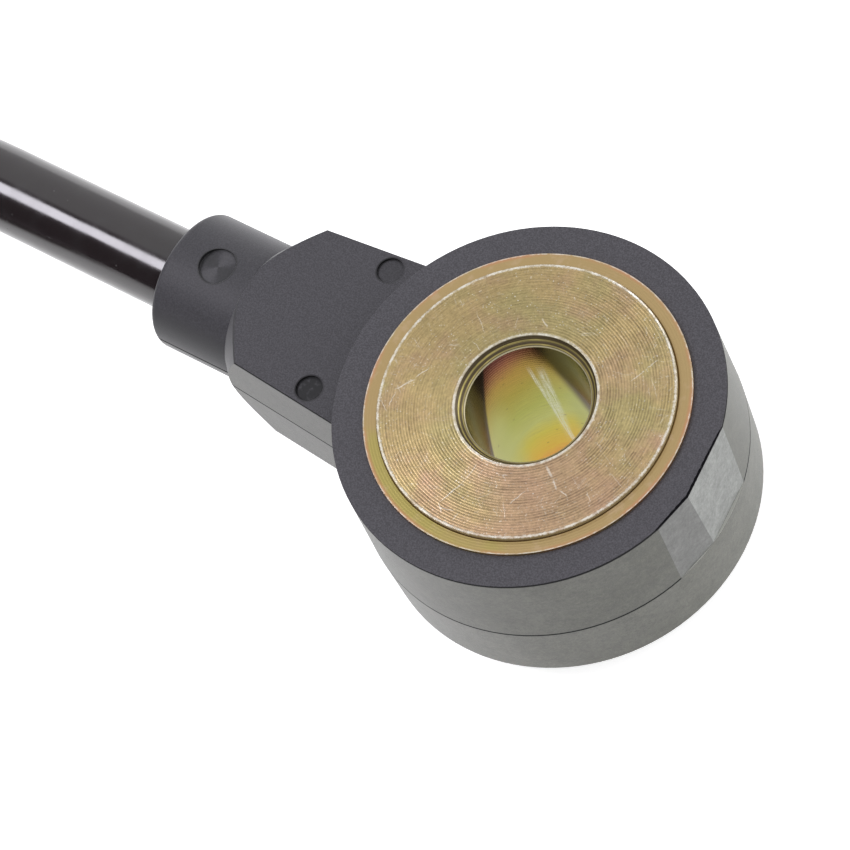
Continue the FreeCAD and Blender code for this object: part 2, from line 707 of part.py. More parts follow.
def add_flats(doc):
    """Cutters for the two flats on the upper half of the ring's side, away from the neck."""
    cutters = []
    for letter in ("a", "b"):
        cutter = doc.addObject("Part::Box", f"flat_{letter}_cutter")
        cutter.setExpression("Length", RING_RADIUS)
        cutter.setExpression("Width", RING_RADIUS)
        cutter.setExpression("Height", RING_RADIUS)
        angle = read(cutter, size(f"flat_{letter}_angle"))
        reach = read(cutter, total(RING_RADIUS, "-" + size(f"flat_{letter}_depth")))
        rise = read(cutter, total(RIM, "-" + size("arm_height")))
        lean = math.degrees(math.atan2(read(cutter, size(f"flat_{letter}_lean")), rise))
        half = read(cutter, RING_RADIUS) / 2
        spin = FreeCAD.Rotation(Vector(0, 0, 1), angle)
        tilt = FreeCAD.Rotation(Vector(0, 1, 0), -lean)
        corner = Vector(reach, 0, read(cutter, size("arm_height")))
        foot = spin.multVec(corner)
        turned = spin.multiply(tilt)
        cutter.Placement = FreeCAD.Placement(foot + turned.multVec(Vector(0, -half, 0)), turned)
        cutters.append(cutter)
    return cutters


# The lead

def lead_route(sheet):
    """The corners of the lead's uncoiled stretch, from the collar down to the floor and to the coil."""
    collar_end = sheet.collar_end
    axis = sheet.arm_height
    floor = sheet.jacket_radius
    coil_start = sheet.coil_reach - sheet.coil_entry
    return [
        Vector(collar_end, 0, axis),
        Vector(sheet.lead_level_end, 0, axis),
        Vector(sheet.lead_floor_start, 0, floor),
        Vector(coil_start, 0, floor),
    ]


def rounded_path(points, share=0.45):
    """Straight runs joined by tangent arcs, each arc as large as its two runs allow."""
    edges = []
    radii = []
    start = points[0]
    for before, corner, after in zip(points, points[1:], points[2:]):
        back = before - corner
        ahead = after - corner
        run = min(back.Length, ahead.Length)
        back.normalize()
        ahead.normalize()
        half_turn = (math.pi - back.getAngle(ahead)) / 2
        cut = share * run
        radius = cut / math.tan(half_turn)
        first = corner + back * cut
        last = corner + ahead * cut
        inward = back + ahead
        inward.normalize()
        middle = corner + inward * (radius / math.cos(half_turn) - radius)
        edges.append(Part.LineSegment(start, first).toShape())
        edges.append(Part.Arc(first, middle, last).toShape())
        start = last
        radii.append(radius)
    edges.append(Part.LineSegment(start, points[-1]).toShape())
    return Part.Wire(edges), radii


def make_lead(doc, sheet):
    """Lead: a round tube along the stretch that is not coiled."""
    points = lead_route(sheet)
    path, radii = rounded_path(points)
    ahead = points[1] - points[0]
    ring = Part.Circle(points[0], ahead, sheet.jacket_radius)
    section = Part.Wire([ring.toShape()])
    tube = path.makePipeShell([section], True, False)
    expected = math.pi * sheet.jacket_radius ** 2 * path.Length
    print("lead: length", round(path.Length, 1), "radii", [round(radius, 1) for radius in radii])
    print("lead: volume", round(tube.Volume, 1), "section times length", round(expected, 1))
    lead = doc.addObject("Part::Feature", "lead")
    lead.Label = "lead"
    lead.Shape = tube
    lead.Placement = FreeCAD.Placement()
    return lead


def arc(centre, radius, first, last):
    """An arc in the floor plane, from one direction to another in degrees."""
    def point(angle):
        turn_angle = math.radians(angle)
        return centre + Vector(radius * math.cos(turn_angle), radius * math.sin(turn_angle), 0)
    return Part.Arc(point(first), point((first + last) / 2), point(last)).toShape()


def line(first, last):
    """A straight edge between two points."""
    return Part.LineSegment(first, last).toShape()


def make_coil(doc, sheet):
    """Coil of the put-away length: a turn on the floor and half a turn on top of it.

    The lower layer has the straight part that comes in, the upper one the part that goes out to the plug.
    """
    middle = sheet.coil_radius
    thick = sheet.jacket_radius
    inner = middle - thick
    outer = middle + thick
    centre = Vector(sheet.coil_reach, middle, 0)
    straight_end = sheet.coil_reach - sheet.coil_entry
    # The direction, from the coil's centre, where the outer circle meets the inner side of a straight part.
    meet = math.degrees(math.acos(inner / outer))
    quarter = 90
    near = -quarter - meet
    near_start = Vector(straight_end, -thick, 0)
    near_end = Vector(straight_end, thick, 0)
    round_turn = arc(centre, outer, -quarter, near + FULL_TURN)
    low_side = [
        line(near_start, Vector(centre.x, -thick, 0)),
        round_turn,
        line(round_turn.Vertexes[-1].Point, near_end),
        line(near_end, near_start),
    ]
    hole = Part.makeCylinder(inner, 2 * thick, centre)
    lower = Part.Face(Part.Wire(low_side)).extrude(Vector(0, 0, 2 * thick)).cut(hole)
    # Upper layer: from the ramp, over the start of the first turn, half way round and out.
    ramp = -quarter - 2 * meet
    far = 2 * middle
    ramp_outer = arc(centre, outer, ramp, quarter)
    ramp_inner = arc(centre, inner, quarter, ramp)
    far_start = Vector(straight_end, far + thick, 0)
    far_end = Vector(straight_end, far - thick, 0)
    upper_wire = Part.Wire([
        ramp_outer,
        line(Vector(centre.x, far + thick, 0), far_start),
        line(far_start, far_end),
        line(far_end, Vector(centre.x, far - thick, 0)),
        ramp_inner,
        line(ramp_inner.Vertexes[-1].Point, ramp_outer.Vertexes[0].Point),
    ])
    upper = Part.Face(upper_wire).extrude(Vector(0, 0, 2 * thick))
    upper.translate(Vector(0, 0, 2 * thick))
    coil = doc.addObject("Part::Feature", "lead_coil")
    coil.Label = "lead_coil"
    coil.Shape = lower.fuse(upper).removeSplitter()
    coil.Placement = FreeCAD.Placement()
    length = 2 * math.pi * middle * COIL_TURNS + 2 * sheet.coil_entry
    print("lead: coiled and straight to the plug", round(length, 1))
    return coil


# The plug, drawn pointing along its own +X from the boot's rear, then laid beside the coil

def lay_plug_piece(body):
    """Lay a piece of the plug on its side beside the coil, pointing back along -X."""
    place(body, x=PLUG_REAR, y=PLUG_SIDE, z=COIL_TOP_AXIS, turned=180)


def plug_turned(doc, label, profile, side=0):
    """A piece of the plug turned about its axis, or about one of its two ways."""
    body = new_body(doc, label)
    lift = f"{side} * {size('way_pitch')} / 2" if side else None
    turn(body, label + "_turned", profile, axis="H_Axis", lift=lift)
    lay_plug_piece(body)
    return body


def make_boot(doc):
    """Boot: a tapered rubber sleeve with grooves, bored for the jacket and opening to the shell."""
    body = new_body(doc, "plug_boot")
    length = size("boot_length")
    jacket = size("jacket_radius")
    turn(body, "boot_turned", [
        ("0", jacket),
        ("0", size("boot_tip_radius")),
        (length, size("boot_root_radius")),
        (length, size("boot_chamber")),
        (size("plug_jacket_length"), size("boot_chamber")),
        (size("plug_jacket_length"), jacket),
    ], axis="H_Axis")
    width = size("boot_groove_width")
    slope = f"(({size('boot_root_radius')} - {size('boot_tip_radius')}) / {length})"
    clear = f"(2 * {size('boot_root_radius')})"
    for index in range(int(read(body, size("boot_grooves")))):
        start = f"({2 * index + 1} * {width})"
        floor = total(size("boot_tip_radius"), f"{slope} * {start}", "-" + size("boot_groove"))
        turn(body, f"boot_groove_{index}", box_outline(start, total(start, width), floor, clear),
             axis="H_Axis", kind="PartDesign::Groove")
    lay_plug_piece(body)
    return body


def make_shell(doc):
    """Shell: body and nose with two cells, bores for the wire seals, a lock slot and a latch arm."""
    body = new_body(doc, "plug_shell")
    half_width = f"({size('shell_width')} / 2)"
    half_height = f"({size('shell_height')} / 2)"
    nose_half_width = f"({size('nose_width')} / 2)"
    nose_half_height = f"({size('nose_height')} / 2)"
    pad(body, "shell_block", "YZ_Plane", [centred_box(half_width, half_height)],
        size("shell_length"), lift=SHELL_START)
    round_edges(doc, body, "shell_edges", is_lengthwise, size("shell_round"))
    pad(body, "nose_block", "YZ_Plane", [centred_box(nose_half_width, nose_half_height)],
        size("nose_length"), lift=NOSE_START)
    nose_from = read(body, NOSE_START)
    round_edges(doc, body, "nose_edges",
                lambda edge, middle: is_lengthwise(edge, middle) and middle.x > nose_from,
                size("nose_round"))
    half_latch = f"({size('latch_width')} / 2)"
    latch_low = total(half_width, "-" + size("latch_thick"))
    latch_start = total(NOSE_START, "-" + size("latch_thick"))
    latch_end = total(NOSE_START, size("latch_length"))
    hook_start = total(latch_end, "-" + size("latch_hook_length"))
    hook_top = total(half_width, size("latch_hook"))
    pad(body, "latch_arm", "XY_Plane", [[
        (latch_start, latch_low),
        (latch_end, latch_low),
        (latch_end, half_width),
        (hook_start, hook_top),
        (hook_start, half_width),
        (latch_start, half_width),
    ]], size("latch_width"), Midplane=True)
    half_cell = f"({size('cell_size')} / 2)"
    half_mouth = f"({size('cell_mouth')} / 2)"
    ways = [f"{side} * {size('way_pitch')} / 2" for side in (1, -1)]
    cells = [box_outline(f"-{half_cell}", half_cell, f"({way} - {half_cell})", f"({way} + {half_cell})")
             for way in ways]
    cell_length = total(SOCKET_TIP, "-" + GLAND_END)
    pad(body, "cells", "YZ_Plane", cells, cell_length, lift=GLAND_END,
        kind="PartDesign::Pocket", Reversed=True)
    mouths = [box_outline(f"-{half_mouth}", half_mouth,
                          f"({way} - {half_mouth})", f"({way} + {half_mouth})")
              for way in ways]
    pad(body, "mouths", "YZ_Plane", mouths, size("cell_front"),
        lift=SOCKET_TIP, kind="PartDesign::Pocket", Reversed=True)
    pad(body, "glands", "YZ_Plane", [("0", way, size("gland_radius")) for way in ways],
        size("gland_depth"), lift=SHELL_START, kind="PartDesign::Pocket", Reversed=True)
    lock_high = total(NOSE_TIP, "-" + size("lock_reach"))
    lock_low = total(lock_high, "-" + size("lock_length"))
    half_socket = f"({size('socket_size')} / 2)"
    pad(body, "lock_slot", "XY_Plane", [box_outline(
        lock_low, lock_high, f"-{nose_half_width}", f"-{half_socket}")],
        lock_height(), kind="PartDesign::Pocket", Midplane=True)
    lay_plug_piece(body)
    return body


def is_lengthwise(edge, middle):
    """True for a straight edge along X that is more than a millimetre long."""
    return edge.Length > 1 and is_across_run(edge, middle)


def lock_height():
    """The terminal lock's reach across both cells."""
    return total(size("way_pitch"), size("cell_size"))


def make_lock(doc):
    """Terminal lock: a bar that slides in behind the sockets' boxes from the nose's side."""
    body = new_body(doc, "plug_lock")
    half_width = f"({size('nose_width')} / 2)"
    high = total(NOSE_TIP, "-" + size("lock_reach"))
    low = total(high, "-" + size("lock_length"))
    half_socket = f"({size('socket_size')} / 2)"
    pad(body, "lock_bar", "XY_Plane",
        [box_outline(low, high, f"-{half_width}", f"-{half_socket}")],
        lock_height(), Midplane=True)
    lay_plug_piece(body)
    return body


def make_seal(doc):
    """Seal: a rubber band round the nose with two lips."""
    body = new_body(doc, "plug_seal")
    half_width = f"({size('nose_width')} / 2)"
    half_height = f"({size('nose_height')} / 2)"
    thick = size("seal_thick")
    lip = size("seal_lip")
    rib = f"({size('seal_length')} / 5)"
    pad(body, "seal_band", "YZ_Plane",
        [centred_box(total(half_width, thick), total(half_height, thick))],
        size("seal_length"), lift=NOSE_START)
    for index in (1, 3):
        lip_start = total(NOSE_START, f"{index} * {rib}")
        pad(body, f"seal_lip_{index}", "YZ_Plane",
            [centred_box(total(half_width, thick, lip), total(half_height, thick, lip))],
            rib, lift=lip_start)
    round_edges(doc, body, "seal_corners", is_across_run, total(size("nose_round"), thick))
    doc.recompute()
    pad(body, "seal_bore", "YZ_Plane", [centred_box(half_width, half_height)],
        size("seal_length"), lift=NOSE_START, kind="PartDesign::Pocket", Reversed=True)
    doc.recompute()
    limit = read(body, total(half_height, thick)) - read(body, thick) / 2
    round_edges(doc, body, "seal_bore_corners",
                lambda edge, middle: is_across_run(edge, middle) and abs(middle.z) < limit,
                size("nose_round"))
    lay_plug_piece(body)
    return body


def is_across_run(edge, middle):
    """True for a straight edge along X of any length."""
    if len(edge.Vertexes) < 2:
        return False
    span = edge.Vertexes[-1].Point - edge.Vertexes[0].Point
    return abs(span.x) > 0.99 * span.Length


def make_socket(doc, letter, side):
    """Socket: a folded box that grips the pin, and a barrel crimped on the wire."""
    body = new_body(doc, f"socket_{letter}")
    way = f"{side} * {size('way_pitch')} / 2"
    half = f"({size('socket_size')} / 2)"
    inner = total(half, "-" + size("socket_wall"))
    box = box_outline(f"-{half}", half, f"({way} - {half})", f"({way} + {half})")
    hollow = box_outline(f"-{inner}", inner, f"({way} - {inner})", f"({way} + {inner})")
    pad(body, f"socket_box_{letter}", "YZ_Plane", [box, hollow],
        size("socket_length"), lift=SOCKET_START)
    barrel = total(size("copper_radius"), size("splice_wall"), size("socket_wall"))
    pad(body, f"socket_barrel_{letter}", "YZ_Plane",
        [("0", way, barrel), ("0", way, size("copper_radius"))],
        total(size("barrel_length"), size("socket_wall")), lift=BARREL_START)
    lay_plug_piece(body)
    return body


def make_plug_wire(doc, letter, side):
    """Wire in the plug: side by side in the jacket, spread out in the boot, bare in the crimp barrel."""
    body = new_body(doc, f"plug_wire_{letter}")
    inner = f"{side} * {size('core_spread')}"
    outer = f"{side} * {size('way_pitch')} / 2"
    insulation = size("core_radius")
    parting = size("plug_jacket_length")
    pad(body, f"wire_in_jacket_{letter}", "YZ_Plane", [("0", inner, insulation)], parting)
    first = new_sketch(body, f"wire_parting_{letter}", "YZ_Plane", parting)
    draw_circle(first, "0", inner, insulation)
    second = new_sketch(body, f"wire_spread_{letter}", "YZ_Plane", size("boot_length"))
    draw_circle(second, "0", outer, insulation)
    loft = body.newObject("PartDesign::AdditiveLoft", f"wire_in_boot_{letter}")
    loft.Profile = first
    loft.Sections = [second]
    pad(body, f"wire_in_shell_{letter}", "YZ_Plane", [("0", outer, insulation)],
        total(BARREL_START, "-" + size("boot_length")), lift=size("boot_length"))
    pad(body, f"wire_bare_{letter}", "YZ_Plane", [("0", outer, size("copper_radius"))],
        size("barrel_length"), lift=BARREL_START)
    lay_plug_piece(body)
    return body


def make_plug(doc):
    """The plug and what it holds."""
    pieces = [make_boot(doc), make_shell(doc), make_seal(doc), make_lock(doc)]
    pieces.append(plug_turned(doc, "plug_jacket", box_outline(
        "0", size("plug_jacket_length"), JACKET_BORE, size("jacket_radius"))))
    for letter, side in (("a", 1), ("b", -1)):
        pieces.append(make_socket(doc, letter, side))
        pieces.append(plug_turned(doc, f"wire_seal_{letter}", box_outline(
            SHELL_START, GLAND_END, size("core_radius"), size("gland_radius")), side))
        pieces.append(make_plug_wire(doc, letter, side))
    return pieces


def check_document(doc):
    """Stop on any failed object."""
    for item in doc.Objects:
        bad = [state for state in item.State if state in ("Invalid", "Error")]
        if bad:
            raise RuntimeError(f"{item.Name} ({item.Label}): {bad}")


def export(items):
    """Write one STEP file for each piece, named by its label."""
    os.makedirs("parts", exist_ok=True)
    for item in items:
        shape = item.Shape
        if shape.isNull() or not shape.isValid() or not shape.Solids:
            raise RuntimeError(f"{item.Label}: bad shape")
        shape.exportStep(os.path.join("parts", item.Label + ".step"))
        box = shape.BoundBox
        print(item.Label, len(shape.Solids), "solids", round(shape.Volume, 2), "mm3",
              [round(v, 2) for v in (box.XMin, box.YMin, box.ZMin, box.XMax, box.YMax, box.ZMax)])


def main():
    """Build the sensor, its lead and the plug, and export every piece."""
    doc = FreeCAD.newDocument("knock_sensor")
    sheet = add_sizes(doc)
    sleeve = make_sleeve(doc)
    stack = make_stack(doc)
    nut = make_nut(doc)
    contacts = [
        make_contact(doc, "front_contact", FRONT_CONTACT, 1),
        make_contact(doc, "rear_contact", REAR_CONTACT, -1),
    ]
    resistor = make_resistor(doc)
    arm_pieces = make_arm_pieces(doc)
    housing = make_housing(doc, [nut, *contacts, resistor, *arm_pieces])
    lead = make_lead(doc, sheet)
    coil = make_coil(doc, sheet)
    plug = make_plug(doc)
    doc.recompute()
    check_document(doc)
    export([housing, sleeve, *stack, nut, *contacts, resistor, *arm_pieces, lead, coil, *plug])


main()
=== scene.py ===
import logging
import math
from dataclasses import dataclass, field
from enum import Enum
from typing import Callable, Sequence, Union

import bpy
import numpy as np
from mathutils import Matrix, Vector


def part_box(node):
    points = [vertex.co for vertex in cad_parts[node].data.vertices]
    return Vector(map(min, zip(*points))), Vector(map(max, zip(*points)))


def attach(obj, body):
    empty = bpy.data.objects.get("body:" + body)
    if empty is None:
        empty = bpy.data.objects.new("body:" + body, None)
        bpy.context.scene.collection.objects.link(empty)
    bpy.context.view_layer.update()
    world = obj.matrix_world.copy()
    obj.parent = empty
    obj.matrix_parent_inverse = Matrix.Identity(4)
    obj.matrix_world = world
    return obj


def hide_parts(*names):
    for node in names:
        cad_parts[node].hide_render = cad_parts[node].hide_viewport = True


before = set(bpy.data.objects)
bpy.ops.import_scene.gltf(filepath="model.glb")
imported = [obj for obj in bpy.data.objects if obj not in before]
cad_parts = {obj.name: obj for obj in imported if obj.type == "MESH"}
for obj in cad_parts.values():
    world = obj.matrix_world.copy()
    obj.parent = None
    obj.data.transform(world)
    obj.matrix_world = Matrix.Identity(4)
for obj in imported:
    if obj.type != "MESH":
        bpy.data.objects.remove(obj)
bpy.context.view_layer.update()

# Looks of an engine knock sensor: a turned steel sleeve in a black moulded ring with a neck, and its lead.
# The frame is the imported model's: the bolt's axis is +Z, the neck and the lead point along +X.
# Sizes are in millimetres where a class doesn't say metres.

LOG = logging.getLogger("knock_sensor")
MM = 0.001
ROOT = "root"
PLUG_NODES = ("plug_boot", "plug_shell", "plug_seal", "plug_lock", "plug_jacket", "socket_a", "socket_b",
              "wire_seal_a", "wire_seal_b", "plug_wire_a", "plug_wire_b")

Colour = tuple[float, float, float]
Triple = tuple[float, float, float]
Span = tuple[float, float]
Socket = bpy.types.NodeSocket


@dataclass(frozen=True)
class Levels:
    """Heights and radii of the sensor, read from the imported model."""

    contact: float
    rim: float
    arm: float
    flange: float
    ring: float
    collar_end: float
    cable: float

    @classmethod
    def read(cls) -> "Levels":
        """Take them from the boxes of the sleeve, the housing and the cable's end."""
        sleeve = [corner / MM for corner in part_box("sleeve")]
        housing = [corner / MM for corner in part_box("housing")]
        cable = [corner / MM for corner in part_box("jacket_end")]
        return cls(contact=sleeve[1].z, rim=housing[1].z, arm=(cable[0].z + cable[1].z) / 2,
                   flange=sleeve[1].x, ring=-housing[0].x, collar_end=housing[1].x,
                   cable=(cable[1].z - cable[0].z) / 2)


LEVELS = Levels.read()


# Shader maths


class Noise(Enum):
    """Procedural patterns that a finish can ask for."""

    CLOUD = "ShaderNodeTexNoise"
    CELL = "ShaderNodeTexVoronoi"


@dataclass(frozen=True)
class Cloud:
    """A soft noise: features in a millimetre, octaves, how rough these are, and how far they swirl."""

    scale: float = 1.0
    detail: float = 4.0
    roughness: float = 0.55
    distortion: float = 0.0


class Value:
    """A number socket of a node tree. Arithmetic on it adds Math nodes."""

    def __init__(self, graph: "Graph", socket: Socket) -> None:
        """Keep the graph and the socket."""
        self.graph = graph
        self.socket = socket

    def __add__(self, other: "Number") -> "Value":
        """Sum."""
        return self.graph.math("ADD", self, other)

    __radd__ = __add__

    def __mul__(self, other: "Number") -> "Value":
        """Product."""
        return self.graph.math("MULTIPLY", self, other)

    __rmul__ = __mul__

    def __sub__(self, other: "Number") -> "Value":
        """Difference."""
        return self.graph.math("SUBTRACT", self, other)

    def __rsub__(self, other: "Number") -> "Value":
        """Difference, the other way round."""
        return self.graph.math("SUBTRACT", other, self)

    def __truediv__(self, other: "Number") -> "Value":
        """Quotient."""
        return self.graph.math("DIVIDE", self, other)

    def __abs__(self) -> "Value":
        """Size without sign."""
        return self.graph.math("ABSOLUTE", self)


Number = Union[float, Value]
Paint = Union[Colour, Socket]


class Graph:
    """The node tree of one material, with the steps that the finishes share."""

    def __init__(self, name: str) -> None:
        """Make an empty material tree with its output node."""
        self.material = bpy.data.materials.new(name)
        self.material.use_nodes = True
        self.tree = self.material.node_tree
        self.tree.nodes.clear()
        self.output = self.tree.nodes.new("ShaderNodeOutputMaterial")

    @classmethod
    def around(cls, tree: bpy.types.NodeTree) -> "Graph":
        """A graph on a tree that is there already."""
        graph = cls.__new__(cls)
        graph.tree = tree
        return graph

    def add(self, kind: str, settings: dict | None = None, inputs: dict | None = None) -> bpy.types.Node:
        """Add a node.

        Args:
            kind: The node's type.
            settings: What is set on the node first. "stops" are a ramp's places and colours.
            inputs: Values or links of its sockets, by name or number.

        Returns:
            The node.
        """
        node = self.tree.nodes.new(kind)
        for key, setting in (settings or {}).items():
            if key == "stops":
                self._set_stops(node, setting)
            else:
                setattr(node, key, setting)
        for key, given in (inputs or {}).items():
            socket = node.inputs[key]
            if isinstance(given, Value):
                given = given.socket
            if isinstance(given, Socket):
                self.tree.links.new(given, socket)
            elif socket.type == "RGBA" and len(given) == 3:
                socket.default_value = (*given, 1.0)
            else:
                socket.default_value = given
        return node

    @staticmethod
    def _set_stops(node: bpy.types.Node, stops: Sequence[tuple[float, Colour]]) -> None:
        """Give a ramp its stops."""
        elements = node.color_ramp.elements
        while len(elements) < len(stops):
            elements.new(1.0)
        for element, (place, colour) in zip(elements, stops):
            element.position = place
            element.color = (*colour, 1.0)

    def math(self, operation: str, *values: Number) -> Value:
        """A Math node on one or two values."""
        node = self.add("ShaderNodeMath", {"operation": operation}, dict(enumerate(values)))
        return Value(self, node.outputs[0])

    def most(self, first: Number, second: Number) -> Value:
        """The greater of two values."""
        return self.math("MAXIMUM", first, second)

    def capped(self, value: Value) -> Value:
        """The value, and one where it is more."""
        return self.math("MINIMUM", value, 1.0)

    def split(self, vector: Socket) -> tuple[Value, Value, Value]:
        """The three parts of a vector."""
        node = self.add("ShaderNodeSeparateXYZ", inputs={0: vector})
        return tuple(Value(self, node.outputs[index]) for index in range(3))

    def join(self, x: Number, y: Number, z: Number) -> Socket:
        """A vector from three parts."""
        return self.add("ShaderNodeCombineXYZ", inputs={0: x, 1: y, 2: z}).outputs[0]

    def reach(self, x: Value, y: Value) -> Value:
        """Distance of a flat point from the origin: the root of x squared plus y squared."""
        return self.math("SQRT", x * x + y * y)

    def turn(self, y: Value, x: Value) -> Value:
        """Angle of a flat point round the origin, from X towards Y."""
        return self.math("ARCTAN2", y, x)

    def cloud(self, vector: Socket, noise: Cloud, span: Span | None = None) -> Value:
        """Soft noise from nought to one, or a smooth step of it."""
        node = self.add(Noise.CLOUD.value, {"noise_dimensions": "3D"}, {
            "Vector": vector, "Scale": noise.scale, "Detail": noise.detail,
            "Roughness": noise.roughness, "Distortion": noise.distortion})
        value = Value(self, node.outputs[0])
        return value if span is None else self.rise(value, *span)

    def dots(self, vector: Socket, scale: float, span: Span) -> Value:
        """Scattered round dots, as a smooth step of the distance to the nearest of some points."""
        node = self.add(Noise.CELL.value, {"feature": "F1"}, {"Vector": vector, "Scale": scale})
        return self.rise(Value(self, node.outputs["Distance"]), *span)

    def rise(self, value: Number, low: float, high: float) -> Value:
        """Nought below low, one above high and a smooth step between. Low may be the greater."""
        node = self.add("ShaderNodeMapRange", {"interpolation_type": "SMOOTHSTEP"}, {
            "Value": value, "From Min": low, "From Max": high, "To Min": 0.0, "To Max": 1.0})
        return Value(self, node.outputs[0])

    def band(self, value: Value, middle: Number, half: float, soft: float) -> Value:
        """One within half of the middle, falling to nought over the soft distance."""
        return self.rise(abs(value - middle), half + soft, half)

    def mix(self, share: Number, first: Paint, second: Paint, blend: str = "MIX") -> Socket:
        """A colour between two colours."""
        node = self.add("ShaderNodeMix", {"data_type": "RGBA", "blend_type": blend}, {
            0: share, 6: first, 7: second})
        return node.outputs[2]

    def coat(self, base: Paint, *coats: tuple[Value, float, Paint]) -> Socket:
        """Lay coats over a base, one after another.

        Args:
            base: The colour under them.
            coats: For each, where it lies, how much of the colour below it covers, and its colour.

        Returns:
            The colour.
        """
        for mask, cover, colour in coats:
            base = self.mix(mask * cover, base, colour)
        return base

    def shade(self, colour: Paint, tone: Value) -> Socket:
        """A colour times a tone."""
        return self.mix(1.0, colour, self.join(tone, tone, tone), "MULTIPLY")

    def ramp(self, value: Value, stops: Sequence[tuple[float, Colour]]) -> Socket:
        """A colour from a ramp."""
        return self.add("ShaderNodeValToRGB", {"stops": stops}, {0: value}).outputs[0]

    def bump(self, height: Value, distance: float, edge_round: float | None = None) -> Socket:
        """A normal from a height between nought and one.

        Args:
            height: The height.
            distance: The depth that it stands for.
            edge_round: Radius by which every edge looks rounded.

        Returns:
            The normal.
        """
        inputs = {"Height": height, "Distance": distance * MM, "Strength": 1.0}
        if edge_round is not None:
            inputs["Normal"] = self.add("ShaderNodeBevel", {"samples": 6}, {"Radius": edge_round * MM}).outputs[0]
        return self.add("ShaderNodeBump", inputs=inputs).outputs[0]

    def surface(self, cover: tuple[Value, Colour] | None = None, **sockets: object) -> bpy.types.Material:
        """Finish the material with one Principled shader, and a second without gloss where something covers it.

        Args:
            cover: Where the cover lies, and its colour.
            sockets: Values or links, named as the shader's sockets with _ for a space.

        Returns:
            The material.
        """
        inputs = {key.replace("_", " "): given for key, given in sockets.items()}
        shader = self.add("ShaderNodeBsdfPrincipled", inputs=inputs)
        if cover is not None:
            matt = self.add("ShaderNodeBsdfPrincipled", inputs={
                "Base Color": cover[1], "Roughness": 0.9, "Specular IOR Level": 0.0})
            shader = self.add("ShaderNodeMixShader", inputs={
                0: cover[0], 1: shader.outputs[0], 2: matt.outputs[0]})
        self.tree.links.new(shader.outputs[0], self.output.inputs["Surface"])
        return self.material


class Spot:
    """The point that is shaded, in the object's own frame: its place, direction, distance and angle."""

    def __init__(self, g: Graph) -> None:
        """Read the place, in millimetres, and the direction."""
        coordinates = g.add("ShaderNodeTexCoord")
        grown = g.add("ShaderNodeVectorMath", {"operation": "SCALE"}, {
            0: coordinates.outputs["Object"], "Scale": 1.0 / MM})
        self.place = grown.outputs[0]
        self.x, self.y, self.z = g.split(self.place)
        self.normal_x, self.normal_y, self.normal_z = g.split(coordinates.outputs["Normal"])
        self.reach = g.reach(self.x, self.y)
        self.angle = g.turn(self.y, self.x)


# Finishes of the sensor's own pieces


def dimmed(colour: Colour, share: float) -> Colour:
    """A share of a colour."""
    return tuple(share * part for part in colour)


@dataclass(frozen=True)
class HousingMasks:
    """Where a point of the housing lies, each from nought to one."""

    rear: Value
    ledge: Value
    upright: Value
    above: Value
    neck: Value
    collar: Value


